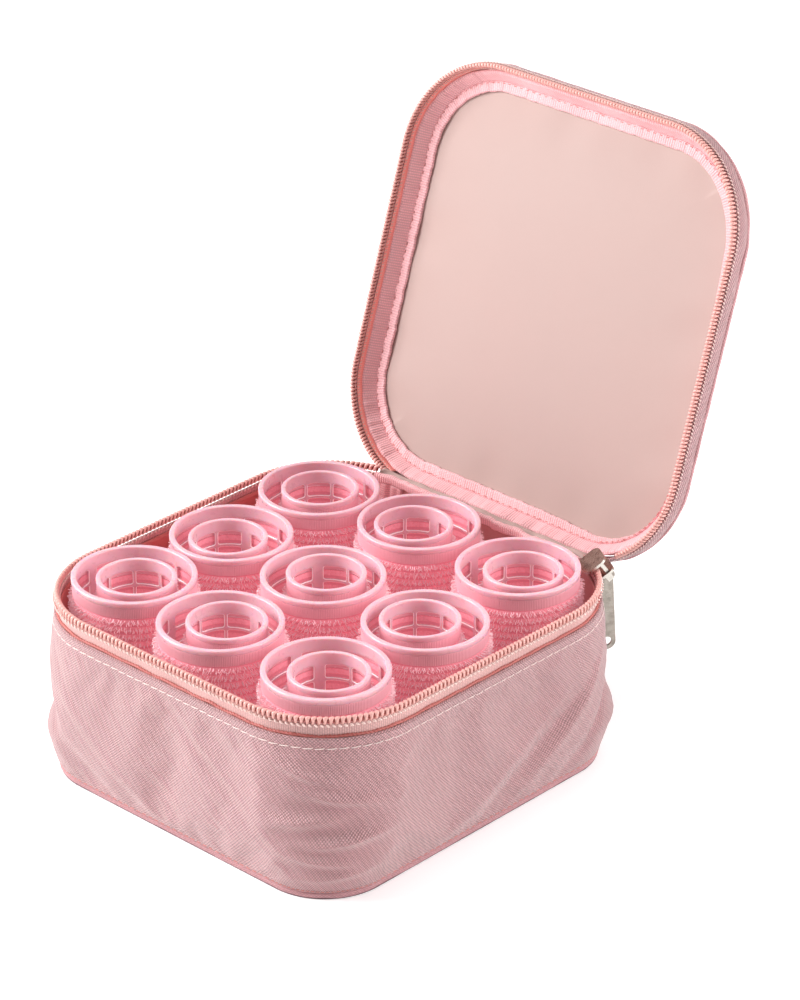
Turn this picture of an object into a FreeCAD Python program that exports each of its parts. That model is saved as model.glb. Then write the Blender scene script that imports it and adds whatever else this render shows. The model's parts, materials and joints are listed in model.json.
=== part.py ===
import FreeCAD, Part
import math
import os

V = FreeCAD.Vector

# Soft zip case holding nine pairs of self-grip hair rollers, a small one inside each large one.
# Millimetres. Origin: centre of the case's underside. +Z up, front of the case towards -Y,
# cloth hinge of the lid along +Y. The lid stands open.

CLEAR = 0.05               # between pieces sewn or moulded together
FAR = 200.0                # reach of a cutting box, larger than the whole object

# ---- outlines of the tub: half width, half depth, corner radius ----
WALL_FOOT = (65.6, 68.65, 21.4)
WALL_RIM = (70.6, 72.6, 35.0)
WALL_TOP = 56.4            # folded edge of the wall cloth, just under the zip tape
WALL_THICK = 1.0
LINING_FOOT = (64.5, 67.5, 20.5)
LINING_RIM = (68.5, 70.5, 32.9)
LINING_LOW = 2.7
LINING_TOP = 58.6
LINING_THICK = 0.5
PIPING_HEIGHT = 2.6
PIPING_THICK = 1.5
BOTTOM_THICK = 1.5
FLOOR_LOW = 1.7
FLOOR_TOP = 3.7            # the rollers stand on this
FLOOR_INSET = 0.65

# ---- zip ----
COIL_INNER = (68.6, 70.6, 33.0)   # inner edge of both coil halves
COIL_WIDTH = 1.8
COIL_HEIGHT = 2.6
ZIP_PLANE = 63.4           # top of the coil half on the tub
ZIP_GAP = 0.3              # between the two halves when the lid is shut
TAPE_THICK = 0.6
TAPE_LOW = 53.0
HINGE_LEFT = -45.0         # the zip stops here and the cloth hinge starts
HINGE_RIGHT = 46.0
LID_CHAIN_RIGHT = 59.0     # the lid's half stops short of the parked slider

# ---- lid, drawn shut and then turned open about the hinge line ----
HINGE_Y = 70.2
HINGE_Z = 60.2
LID_OPEN_DEG = 108.45
LID_TAPE_TOP = 69.2
LID_BAND_LOW = 68.5
LID_BAND_OUT = 1.75        # outer face of the side band beyond the coil's inner edge
LID_BAND_THICK = 1.0
LID_EDGE_LOW = 71.4        # rolled edge between side band and top panel
LID_TOP = 73.0
LID_EDGE_OUT = 1.9
LID_EDGE_IN = -0.1
LID_EDGE_ROUND = 0.7
LID_PANEL_LOW = 72.0
LID_PANEL_INSET = 0.15
LID_BOARD_LOW = 70.8
LID_BOARD_INSET = 0.3
LID_LINING_LOW = 70.1
LID_BINDING_LOW = 67.4
LID_BINDING_OUT = 0.3      # insets from the coil's inner edge
LID_BINDING_IN = 4.2
LID_TRIM_LOW = 69.4
LID_TRIM_OUT = 4.3
LID_TRIM_IN = 7.4

# ---- cloth hinge along the back ----
HINGE_PANEL_LOW = 52.2
HINGE_PANEL_TOP = 61.6
HINGE_PANEL_THICK = 0.5
HINGE_BINDING_LOW = 58.7
HINGE_BINDING_TOP = 61.9
HINGE_BINDING_THICK = 2.2
STAY_WIDTH = 11.0
STAY_THICK = 0.6
STAY_LOW = 42.0
STAY_X = {"left": -39.0, "right": 40.0}

# ---- rollers: bore, cage, sleeve and end ring radius ----
ROLLER_LENGTH = 63.0
LARGE = (18.2, 19.2, 19.8, 20.0)
SMALL = (11.3, 12.1, 12.6, 12.8)
RING_HEIGHT = 2.0
PLAIN_BAND = 4.2           # unbroken band of the cage between its rim and the first windows
WINDOW_ROWS = 10
WINDOWS_ROUND = 8
ROW_RIB = 1.0
WINDOW_RIB = 1.1
SEAM_RIB = 3.7             # the one broad rib of each cage, where the hook cloth is joined
SLEEVE_GAP = 0.05
GRID_PITCH = 42.4
GRID_CENTRE = (-0.8, -0.5)
ROWS = ("front", "middle", "back")
COLUMNS = ("left", "centre", "right")
# how far each large roller has settled from its place in the grid, front row first
LARGE_SETTLE = (
    ((-0.4, 0.0), (-1.3, -2.7), (0.9, -1.8)),
    ((1.5, -1.4), (0.4, -1.5), (1.9, -1.4)),
    ((-0.4, -1.6), (-2.4, 3.2), (-1.0, 2.2)),
)
# how far each small roller stands off the axis of the large one around it
SMALL_SETTLE = (
    ((1.6, -0.6), (1.3, 1.5), (2.0, -0.7)),
    ((1.1, -2.6), (-0.3, 1.7), (-1.9, -0.3)),
    ((0.2, 0.3), (-0.5, -2.0), (2.7, -0.5)),
)
# direction of the broad rib of each roller, in degrees from +X
LARGE_TURN = ((183.4, 192.0, 164.0), (260.0, 255.0, 300.0), (128.0, 340.0, 181.0))
SMALL_TURN = ((320.4, 87.5, 149.4), (104.9, 148.3, 320.9), (338.3, 97.4, 341.2))

# ---- zip slider, parked on the corner behind the right side ----
SLIDER_ANGLE = 58.5        # degrees round the corner, from the right side towards the hinge
SLIDER_TILT = 36.0         # the plates lean inwards, halfway between the two tapes
PLATE_GAP = 3.8
PLATE_THICK = 0.85
PLATE_HALF_LENGTH = 4.7
PLATE_LOW = -3.5
PLATE_HIGH = 4.9
PLATE_ROUND = 2.6
OUTER_PLATE_LOW = -1.3
OUTER_PLATE_ROUND = 2.0
POST_LOW = 1.9
POST_HIGH = 3.1
POST_BACK = 1.0
POST_FRONT = 4.0
CROWN_HALF_LENGTH = 3.2
CROWN_LOW = 0.8
CROWN_HIGH = 3.0
CROWN_RISE = 3.0
CROWN_THICK = 0.8
EYE_RADIUS = 1.3
EYE_RIM = 0.8
TAB_LENGTH = 27.0
TAB_THICK = 0.9
TAB_NECK_HALF = 1.6
TAB_END_HALF = 2.9
TAB_HOLE_RADIUS = 1.6


def outline(size, z, inset=0.0):
    """Closed rounded rectangle of one half width, half depth and corner radius."""
    half_x, half_y, radius = [value - inset for value in size]
    straight_x = half_x - radius
    straight_y = half_y - radius
    centres = ((straight_x, straight_y), (-straight_x, straight_y),
               (-straight_x, -straight_y), (straight_x, -straight_y))
    corners = []
    for quarter, (x, y) in enumerate(centres):
        turns = [math.radians(90 * quarter + step) for step in (0, 45, 90)]
        corners.append([V(x + radius * math.cos(a), y + radius * math.sin(a), z) for a in turns])
    edges = []
    for index, points in enumerate(corners):
        following = corners[(index + 1) % len(corners)]
        edges.append(Part.Arc(*points).toShape())
        edges.append(Part.LineSegment(points[-1], following[0]).toShape())
    return Part.Wire(edges)


def block(size, low, high, inset=0.0):
    """Straight-sided slab with a rounded outline."""
    face = Part.Face(outline(size, low, inset))
    return face.extrude(V(0, 0, high - low))


def band(size, low, high, outer_inset, inner_inset):
    """Straight-sided ring between two insets of one outline."""
    return block(size, low, high, outer_inset).cut(block(size, low, high, inner_inset))


def size_at(foot, rim, height, z):
    """Outline of a tapering skin at height z."""
    return tuple(low + (top - low) * z / height for low, top in zip(foot, rim))


def taper_block(skin, low, high, inset):
    """Solid that follows a tapering skin between two heights."""
    wires = [outline(size_at(*skin, z), z, inset) for z in (low, high)]
    return Part.makeLoft(wires, True, True)


def taper_band(skin, low, high, outer_inset, inner_inset):
    """Ring that follows a tapering skin."""
    outer = taper_block(skin, low, high, outer_inset)
    return outer.cut(taper_block(skin, low, high, inner_inset))


def span_box(x_span, y_span, z_span):
    """Box between two values on each axis."""
    lows = [span[0] for span in (x_span, y_span, z_span)]
    sides = [span[1] - span[0] for span in (x_span, y_span, z_span)]
    return Part.makeBox(*sides, V(*lows))


def back_window(left, right):
    """Box round the back edge of the case, between two places along it."""
    corner_y = COIL_INNER[1] - COIL_INNER[2]
    return span_box((left, right), (corner_y, FAR), (0, FAR))


WALL = (WALL_FOOT, WALL_RIM, WALL_TOP)
LINING = (LINING_FOOT, LINING_RIM, LINING_TOP)


def tub_parts():
    """Cloth tub, its lining and its half of the zip."""
    tape = band(COIL_INNER, TAPE_LOW, ZIP_PLANE - COIL_HEIGHT, -TAPE_THICK, 0)
    coil = band(COIL_INNER, ZIP_PLANE - COIL_HEIGHT + CLEAR, ZIP_PLANE, -COIL_WIDTH, 0)
    hinge_run = back_window(HINGE_LEFT, HINGE_RIGHT)
    return {
        "base_wall_fabric": taper_band(WALL, PIPING_HEIGHT, WALL_TOP, 0, WALL_THICK),
        "base_bottom_piping": taper_band(WALL, 0, PIPING_HEIGHT - CLEAR, 0, PIPING_THICK),
        "base_bottom_panel": taper_block(WALL, 0, BOTTOM_THICK, PIPING_THICK + CLEAR),
        "base_wall_lining": taper_band(LINING, LINING_LOW, LINING_TOP, 0, LINING_THICK),
        "base_floor_lining": taper_block(LINING, FLOOR_LOW, FLOOR_TOP, FLOOR_INSET),
        "base_zip_tape": tape.cut(hinge_run),
        "base_zip_coil": coil.cut(hinge_run),
    }


def hinge_parts():
    """Cloth strip, bound seam and two ribbon stays between tub and lid."""
    run = back_window(HINGE_LEFT + CLEAR, HINGE_RIGHT - CLEAR)
    panel = band(COIL_INNER, HINGE_PANEL_LOW, HINGE_PANEL_TOP,
                 -CLEAR - HINGE_PANEL_THICK, -CLEAR)
    binding = band(COIL_INNER, HINGE_BINDING_LOW, HINGE_BINDING_TOP,
                   0, HINGE_BINDING_THICK)
    parts = {"hinge_panel": panel.common(run), "hinge_binding": binding.common(run)}
    inner = LINING_THICK + CLEAR
    strip = taper_band(LINING, STAY_LOW, LINING_TOP, inner, inner + STAY_THICK)
    for side, x in STAY_X.items():
        window = back_window(x - STAY_WIDTH / 2, x + STAY_WIDTH / 2)
        parts["hinge_stay_" + side] = strip.common(window)
    return parts


def lid_edge():
    """Rolled edge round the top of the lid, rounded outside."""
    ring = band(COIL_INNER, LID_EDGE_LOW, LID_TOP, -LID_EDGE_OUT, LID_EDGE_IN)
    rounded = []
    for edge in ring.Edges:
        box = edge.BoundBox
        flat = box.ZLength < CLEAR
        outside = max(abs(box.XMin), abs(box.XMax)) > COIL_INNER[0] + LID_EDGE_OUT / 2
        outside = outside or max(abs(box.YMin), abs(box.YMax)) > COIL_INNER[1] + LID_EDGE_OUT / 2
        if flat and outside:
            rounded.append(edge)
    return ring.makeFillet(LID_EDGE_ROUND, rounded)


def lid_parts():
    """Lid pieces where they stand with the lid open."""
    coil_low = ZIP_PLANE + ZIP_GAP
    coil_top = coil_low + COIL_HEIGHT
    coil = band(COIL_INNER, coil_low, coil_top, -COIL_WIDTH, 0)
    tape = band(COIL_INNER, coil_top + CLEAR, LID_TAPE_TOP, -TAPE_THICK, 0)
    hinge_run = back_window(HINGE_LEFT, LID_CHAIN_RIGHT)
    band_inner = LID_BAND_OUT - LID_BAND_THICK
    shut = {
        "lid_zip_coil": coil.cut(hinge_run),
        "lid_zip_tape": tape.cut(hinge_run),
        "lid_side_band": band(COIL_INNER, LID_BAND_LOW, LID_EDGE_LOW - CLEAR,
                              -LID_BAND_OUT, -band_inner),
        "lid_rolled_edge": lid_edge(),
        "lid_top_panel": block(COIL_INNER, LID_PANEL_LOW, LID_TOP - CLEAR, LID_PANEL_INSET),
        "lid_stiffener_board": block(COIL_INNER, LID_BOARD_LOW, LID_PANEL_LOW - CLEAR,
                                     LID_BOARD_INSET),
        "lid_lining_panel": block(COIL_INNER, LID_LINING_LOW, LID_BOARD_LOW - CLEAR,
                                  LID_BOARD_INSET),
        "lid_binding_tape": band(COIL_INNER, LID_BINDING_LOW, LID_LINING_LOW - CLEAR,
                                 LID_BINDING_OUT, LID_BINDING_IN),
        "lid_inner_trim": band(COIL_INNER, LID_TRIM_LOW, LID_LINING_LOW - CLEAR,
                               LID_TRIM_OUT, LID_TRIM_IN),
    }
    for shape in shut.values():
        shape.rotate(V(0, HINGE_Y, HINGE_Z), V(-1, 0, 0), LID_OPEN_DEG)
    return shut


def tube(outer, inner, low, high):
    """Upright tube."""
    shell = Part.makeCylinder(outer, high - low, V(0, 0, low))
    return shell.cut(Part.makeCylinder(inner, high - low, V(0, 0, low)))


def roller_core(radii):
    """Moulded cage with rows of windows and a ring at each end, standing on the floor."""
    bore, cage, _, ring = radii
    top = FLOOR_TOP + ROLLER_LENGTH
    core = tube(cage, bore, FLOOR_TOP, top)
    for low in (FLOOR_TOP, top - RING_HEIGHT):
        core = core.fuse(tube(ring, bore, low, low + RING_HEIGHT))
    row_pitch = (ROLLER_LENGTH - 2 * PLAIN_BAND + ROW_RIB) / WINDOW_ROWS
    window_height = row_pitch - ROW_RIB
    ribs = SEAM_RIB + (WINDOWS_ROUND - 1) * WINDOW_RIB
    window_width = (2 * math.pi * bore - ribs) / WINDOWS_ROUND
    windows = []
    for row in range(WINDOW_ROWS):
        low = FLOOR_TOP + PLAIN_BAND + row * row_pitch
        for place in range(WINDOWS_ROUND):
            window = span_box((0, ring), (-window_width / 2, window_width / 2),
                              (low, low + window_height))
            from_seam = (SEAM_RIB + window_width) / 2 + place * (window_width + WINDOW_RIB)
            window.rotate(V(0, 0, 0), V(0, 0, 1), math.degrees(from_seam / bore))
            windows.append(window)
    return core.cut(Part.makeCompound(windows)).removeSplitter()


def roller_sleeve(radii):
    """Hook cloth wrapped round the cage between the end rings."""
    _, cage, sleeve, _ = radii
    low = FLOOR_TOP + RING_HEIGHT + CLEAR
    return tube(sleeve, cage + SLEEVE_GAP, low, 2 * FLOOR_TOP + ROLLER_LENGTH - low)


def roller_parts():
    """Nine large rollers and the nine small ones inside them."""
    shapes = {
        "large": (roller_core(LARGE), roller_sleeve(LARGE)),
        "small": (roller_core(SMALL), roller_sleeve(SMALL)),
    }
    parts = {}
    for row, row_name in enumerate(ROWS):
        for column, column_name in enumerate(COLUMNS):
            settle = LARGE_SETTLE[row][column]
            inner = SMALL_SETTLE[row][column]
            x = GRID_CENTRE[0] + (column - 1) * GRID_PITCH + settle[0]
            y = GRID_CENTRE[1] + (row - 1) * GRID_PITCH + settle[1]
            places = {"large": V(x, y, 0), "small": V(x + inner[0], y + inner[1], 0)}
            turns = {"large": LARGE_TURN[row][column], "small": SMALL_TURN[row][column]}
            for kind, (core, sleeve) in shapes.items():
                name = "_".join((kind, "roller", row_name, column_name))
                turned = core.rotated(V(0, 0, 0), V(0, 0, 1), turns[kind])
                parts[name + "_core"] = turned.translated(places[kind])
                parts[name + "_sleeve"] = sleeve.translated(places[kind])
    return parts


def on_slider(shape):
    """Move a shape from the slider's own axes to the slider's place on the corner.

    Own axes: X along the zip towards the front, Y outwards across the plates, Z out of the
    inner plate.
    """
    radius = COIL_INNER[2] + COIL_WIDTH / 2
    angle = math.radians(SLIDER_ANGLE)
    corner_x = COIL_INNER[0] - COIL_INNER[2]
    corner_y = COIL_INNER[1] - COIL_INNER[2]
    shape.rotate(V(0, 0, 0), V(1, 0, 0), SLIDER_TILT)
    shape.rotate(V(0, 0, 0), V(0, 0, 1), SLIDER_ANGLE - 90)
    shape.translate(V(corner_x + radius * math.cos(angle), corner_y + radius * math.sin(angle),
                      ZIP_PLANE - COIL_HEIGHT / 2))
    return shape


def rounded_plate(y_span, z_span, radius):
    """Slider plate with rounded corners."""
    plate = span_box((-PLATE_HALF_LENGTH, PLATE_HALF_LENGTH), y_span, z_span)
    upright = [edge for edge in plate.Edges if edge.BoundBox.ZLength > PLATE_THICK / 2]
    return plate.makeFillet(radius, upright)


def zip_slider():
    """Two plates joined by a post, with a crown for the pull on the outer one."""
    half_gap = PLATE_GAP / 2
    outer_face = half_gap + PLATE_THICK
    inner = rounded_plate((PLATE_LOW, PLATE_HIGH), (half_gap, outer_face), PLATE_ROUND)
    outer = rounded_plate((OUTER_PLATE_LOW, PLATE_HIGH), (-outer_face, -half_gap),
                          OUTER_PLATE_ROUND)
    post = span_box((POST_BACK, POST_FRONT), (POST_LOW, POST_HIGH), (-half_gap, half_gap))
    crown_top = -outer_face - CROWN_RISE
    arch = span_box((-CROWN_HALF_LENGTH, CROWN_HALF_LENGTH), (CROWN_LOW, CROWN_HIGH),
                    (crown_top, -outer_face))
    mouth_half = CROWN_HALF_LENGTH - CROWN_THICK
    mouth = span_box((-mouth_half, mouth_half), (CROWN_LOW, CROWN_HIGH),
                     (crown_top + CROWN_THICK, -outer_face))
    slider = inner.fuse([post, outer, arch.cut(mouth)]).removeSplitter()
    return on_slider(slider)


def pull_tab():
    """Flat tab with a hole in its end, hanging straight down from the crown."""
    bar = Part.Vertex(0, (CROWN_LOW + CROWN_HIGH) / 2,
                      -PLATE_GAP / 2 - PLATE_THICK - CROWN_RISE + CROWN_THICK / 2)
    eye = on_slider(bar).Point
    angle = math.radians(SLIDER_ANGLE)
    eye_outer = EYE_RADIUS + EYE_RIM
    end_z = -TAB_LENGTH + TAB_END_HALF
    shoulder_z = -math.sqrt(eye_outer ** 2 - TAB_NECK_HALF ** 2)
    rim = Part.makeCylinder(eye_outer, TAB_THICK, V(-TAB_THICK / 2, 0, 0), V(1, 0, 0))
    corners = [V(-TAB_THICK / 2, -TAB_NECK_HALF, shoulder_z),
               V(-TAB_THICK / 2, -TAB_END_HALF, end_z),
               V(-TAB_THICK / 2, TAB_END_HALF, end_z),
               V(-TAB_THICK / 2, TAB_NECK_HALF, shoulder_z)]
    blade = Part.Face(Part.makePolygon(corners + corners[:1])).extrude(V(TAB_THICK, 0, 0))
    end = Part.makeCylinder(TAB_END_HALF, TAB_THICK, V(-TAB_THICK / 2, 0, end_z), V(1, 0, 0))
    tab = rim.fuse([blade, end]).removeSplitter()
    tab = tab.cut(Part.makeCylinder(EYE_RADIUS, TAB_THICK, V(-TAB_THICK / 2, 0, 0), V(1, 0, 0)))
    tab = tab.cut(Part.makeCylinder(TAB_HOLE_RADIUS, TAB_THICK,
                                    V(-TAB_THICK / 2, 0, end_z), V(1, 0, 0)))
    tab.rotate(V(0, 0, 0), V(0, 0, 1), SLIDER_ANGLE - 90)
    tab.translate(eye)
    print("pull axis", [round(value, 3) for value in eye],
          "along", round(math.sin(angle), 4), round(-math.cos(angle), 4))
    return tab


def main():
    parts = tub_parts()
    parts.update(hinge_parts())
    parts.update(lid_parts())
    parts["zip_slider"] = zip_slider()
    parts["zip_pull_tab"] = pull_tab()
    parts.update(roller_parts())
    os.makedirs("parts", exist_ok=True)
    for name, shape in parts.items():
        shape.exportStep("parts/" + name + ".step")
        print(name, shape.isValid(), len(shape.Solids), round(shape.Volume, 1))


main()
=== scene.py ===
import math
import json

import bmesh
import bpy
import numpy as np
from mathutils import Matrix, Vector


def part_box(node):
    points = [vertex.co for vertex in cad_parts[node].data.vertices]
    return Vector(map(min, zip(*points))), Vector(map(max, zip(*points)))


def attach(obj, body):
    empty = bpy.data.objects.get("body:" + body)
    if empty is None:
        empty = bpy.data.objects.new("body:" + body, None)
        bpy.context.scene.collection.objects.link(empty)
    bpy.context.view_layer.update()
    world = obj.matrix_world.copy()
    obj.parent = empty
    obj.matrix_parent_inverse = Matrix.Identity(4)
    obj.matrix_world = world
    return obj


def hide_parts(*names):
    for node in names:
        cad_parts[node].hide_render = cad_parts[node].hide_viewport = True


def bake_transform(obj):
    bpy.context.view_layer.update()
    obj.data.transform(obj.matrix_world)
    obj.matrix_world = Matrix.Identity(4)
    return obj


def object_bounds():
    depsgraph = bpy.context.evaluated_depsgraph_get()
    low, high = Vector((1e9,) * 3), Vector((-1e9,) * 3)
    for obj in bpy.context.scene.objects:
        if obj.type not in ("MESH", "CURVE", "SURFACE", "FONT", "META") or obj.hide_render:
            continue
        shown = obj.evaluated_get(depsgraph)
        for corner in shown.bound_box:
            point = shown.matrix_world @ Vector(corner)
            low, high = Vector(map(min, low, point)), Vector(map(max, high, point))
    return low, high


# Looks of a soft zip case that holds nine pairs of self-grip hair rollers.
# Lengths are millimetres until a mesh is made. Round the case, a place is a distance along
# the zip's outline, an outset from that outline and a height.

MM = 0.001
TURN = 2 * math.pi
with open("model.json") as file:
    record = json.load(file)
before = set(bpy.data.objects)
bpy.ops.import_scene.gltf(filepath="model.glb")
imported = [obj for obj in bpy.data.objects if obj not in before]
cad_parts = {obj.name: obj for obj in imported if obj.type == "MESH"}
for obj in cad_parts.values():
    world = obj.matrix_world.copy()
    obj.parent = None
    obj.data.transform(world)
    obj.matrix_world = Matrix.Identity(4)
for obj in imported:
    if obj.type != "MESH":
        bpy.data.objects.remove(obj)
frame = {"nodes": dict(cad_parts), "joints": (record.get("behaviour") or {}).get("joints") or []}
cad_low, cad_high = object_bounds()


def node_box(node):
    """Lowest and highest corner of a CAD node in millimetres."""
    low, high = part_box(node)
    return np.array(low) / MM, np.array(high) / MM


def joint(name):
    """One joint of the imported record."""
    return next(row for row in frame["joints"] if row["name"] == name)


# ---- sizes read from the frame ----
COIL_LOW, COIL_HIGH = node_box("base_zip_coil")
TAPE_LOW = node_box("base_zip_tape")[0]
WALL_HIGH = node_box("base_wall_fabric")[1]
FOOT_HIGH = node_box("base_bottom_piping")[1]
LINING_LOW, LINING_HIGH = node_box("base_wall_lining")
FLOOR_LOW, FLOOR_HIGH = node_box("base_floor_lining")
SEAM_LOW, SEAM_HIGH = node_box("hinge_binding")
HINGE = joint("lid_hinge")
HINGE_Y, HINGE_Z = HINGE["pos_m"][1] / MM, HINGE["pos_m"][2] / MM
OPEN = math.radians(-HINGE["range_deg"][0])

# ---- sizes that no box gives ----
COIL_WIDTH = 1.8
COIL_TALL = COIL_HIGH[2] - COIL_LOW[2]
COIL_CORNER = 33.0
COIL = (COIL_HIGH[0] - COIL_WIDTH, -COIL_LOW[1] - COIL_WIDTH, COIL_CORNER)
RIM_CORNER = 35.0
FOOT_CORNER = 21.4
RIM = (WALL_HIGH[0], WALL_HIGH[1], RIM_CORNER)
FOOT = (65.6, 68.65, FOOT_CORNER)
LINING_RIM = (LINING_HIGH[0], LINING_HIGH[1], 32.9)
LINING_FOOT = (64.5, 67.5, 20.5)
ZIP_PLANE = COIL_HIGH[2]
ZIP_GAP = 0.3
TEETH_PITCH = 1.70
LID_TEETH_PITCH = 1.22
TAPE_STEP = 0.25           # fineness of the tapes' ribs
RIBBON_RIB = 0.9           # from one rib of the grosgrain ribbon to the next
LID_STOP = 53.5            # the lid's half of the zip stops here, short of the slider


# ---- outlines and places ----
CORNERS = np.array(((1, 1), (-1, 1), (-1, -1), (1, -1)), float)


def rounded(size, phase):
    """Points and outward normals on a rounded rectangle. A whole turn is eight phases:
    corner arc, straight side and so on, from the right side towards the hinge."""
    half_x, half_y, radius = size
    phase = np.mod(phase, 8.0)
    quarter = np.minimum((phase // 2).astype(int), 3)
    share = phase - 2 * quarter
    angle = (quarter + np.minimum(share, 1)) * math.pi / 2
    normal = np.cos(angle), np.sin(angle)
    along = np.clip(share - 1, 0, 1)
    here, there = CORNERS[quarter], CORNERS[(quarter + 1) % 4]
    sign = here * (1 - along[..., None]) + there * along[..., None]
    x = sign[..., 0] * (half_x - radius) + radius * normal[0]
    y = sign[..., 1] * (half_y - radius) + radius * normal[1]
    return x, y, normal[0], normal[1]


ARC, WIDE, DEEP = COIL[2] * math.pi / 2, 2 * (COIL[0] - COIL[2]), 2 * (COIL[1] - COIL[2])
# where each corner arc and straight side of the zip's outline starts
STRETCHES = np.concatenate([[0], np.cumsum([ARC, WIDE, ARC, DEEP] * 2)])
ROUND = STRETCHES[-1]
CORNER_AT = {"back_right": STRETCHES[1] / 2, "back_left": STRETCHES[2:4].mean(),
             "front_left": STRETCHES[4:6].mean(), "front_right": STRETCHES[6:8].mean()}


def phase_of(distance):
    """Phase at a distance along the zip's outline."""
    return np.interp(np.mod(distance, ROUND), STRETCHES, np.arange(9))


def back_distance(x):
    """Distance along the zip's outline of a place on one of its back corners."""
    turn = math.acos((abs(x) - COIL[0] + COIL[2]) / COIL[2])
    return COIL[2] * turn if x > 0 else STRETCHES[2] + COIL[2] * (math.pi / 2 - turn)


def gap_to(distance, centre):
    """Signed distance round the outline to a centre, the short way."""
    return np.mod(distance - centre + ROUND / 2, ROUND) - ROUND / 2


def at_rim(distance, outset, z):
    """Places round the zip, which stands upright."""
    distance, outset, z = np.broadcast_arrays(distance, outset, z)
    x, y, nx, ny = rounded(COIL, phase_of(distance))
    return np.stack([x + nx * outset, y + ny * outset, z], -1)


def tapered(foot, rim, top):
    """Places round a skin that widens from foot to rim."""
    def at(distance, outset, z):
        distance, outset, z = np.broadcast_arrays(distance, outset, z)
        share = z / top
        size = [low + (high - low) * share for low, high in zip(foot, rim)]
        x, y, nx, ny = rounded(size, phase_of(distance))
        return np.stack([x + nx * outset, y + ny * outset, z], -1)
    return at


at_wall = tapered(FOOT, RIM, WALL_HIGH[2])
at_lining = tapered(LINING_FOOT, LINING_RIM, LINING_HIGH[2])


def opened(points):
    """Turn points of the shut lid open about the hinge."""
    y, z = points[..., 1] - HINGE_Y, points[..., 2] - HINGE_Z
    c, s = math.cos(OPEN), math.sin(OPEN)
    return np.stack([points[..., 0], HINGE_Y + y * c + z * s, HINGE_Z - y * s + z * c], -1)


def at_lid(distance, outset, z):
    """Places round the open lid, given as if it were shut."""
    return opened(at_rim(distance, outset, z))


# ---- meshes ----
class Part:
    """Points with faces, and a place on the flat cloth for each corner of a face."""

    def __init__(self, points, faces, flats):
        self.points = points.reshape(-1, 3)
        self.faces = faces
        self.flats = flats

    def turned_out(self):
        """The same part with its faces looking outwards."""
        p = self.points - self.points.mean(0)
        volume = 0.0
        for faces in self.faces:
            for second in range(1, faces.shape[1] - 1):
                a, b, c = p[faces[:, 0]], p[faces[:, second]], p[faces[:, second + 1]]
                volume += (a * np.cross(b, c)).sum()
        if volume < 0:
            self.faces = [faces[:, ::-1] for faces in self.faces]
            self.flats = [flats[:, ::-1] for flats in self.flats]
        return self


def cloth_steps(points, axis):
    """Mean length of cloth from the first row of a grid to each row, in metres."""
    long = np.linalg.norm(np.roll(points, -1, axis=axis) - points, axis=-1)
    return np.concatenate([[0], np.cumsum(long.mean(axis=1 - axis))]) * MM


def grid(points, wrap=(False, False), capped=False):
    """Part made of rows and columns of points, either of which may close on itself."""
    rows, columns = points.shape[:2]
    i, j = np.meshgrid(np.arange(rows - (not wrap[0])), np.arange(columns - (not wrap[1])),
                       indexing="ij")
    i2, j2 = (i + 1) % rows, (j + 1) % columns
    faces = np.stack([i * columns + j, i2 * columns + j, i2 * columns + j2, i * columns + j2], -1)
    u, v = cloth_steps(points, 0), cloth_steps(points, 1)
    flats = np.stack([np.stack([u[i], v[j]], -1), np.stack([u[i + 1], v[j]], -1),
                      np.stack([u[i + 1], v[j + 1]], -1), np.stack([u[i], v[j + 1]], -1)], -2)
    all_faces, all_flats = [faces.reshape(-1, 4)], [flats.reshape(-1, 4, 2)]
    if capped:
        ring = np.arange(columns)
        for row, loop in ((0, ring), (rows - 1, ring[::-1])):
            all_faces.append((row * columns + loop)[None])
            all_flats.append(np.stack([np.full(columns, u[row]), v[loop]], -1)[None])
    return Part(points, all_faces, all_flats).turned_out()


def strands(points, radius, sides, capped=True):
    """Many thin tubes at once. points holds one row of places for each strand."""
    count, long = points.shape[:2]
    ahead = np.gradient(points, axis=1)
    ahead /= np.linalg.norm(ahead, axis=-1, keepdims=True) + 1e-12
    aside = np.cross(ahead, [0.31, 0.17, 0.94])
    aside /= np.linalg.norm(aside, axis=-1, keepdims=True) + 1e-12
    above = np.cross(ahead, aside)
    turn = np.arange(sides) * TURN / sides
    radius = np.broadcast_to(radius, (count, long))[..., None, None]
    ring = (points[:, :, None] + radius * (aside[:, :, None] * np.cos(turn)[:, None]
                                           + above[:, :, None] * np.sin(turn)[:, None]))
    base = np.arange(count)[:, None, None] * long * sides
    i, j = np.meshgrid(np.arange(long - 1), np.arange(sides), indexing="ij")
    j2 = (j + 1) % sides
    quad = np.stack([i * sides + j, (i + 1) * sides + j, (i + 1) * sides + j2, i * sides + j2], -1)
    faces = [(base[..., None] + quad[None]).reshape(-1, 4)]
    if capped:
        ends = np.stack([np.arange(sides)[::-1], (long - 1) * sides + np.arange(sides)])
        faces.append((base + ends[None]).reshape(-1, sides))
    flats = [np.tile(np.linspace(0, 1, f.shape[1])[None, :, None] * MM, (len(f), 1, 2))
             for f in faces]
    return Part(ring, faces, flats)


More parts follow.
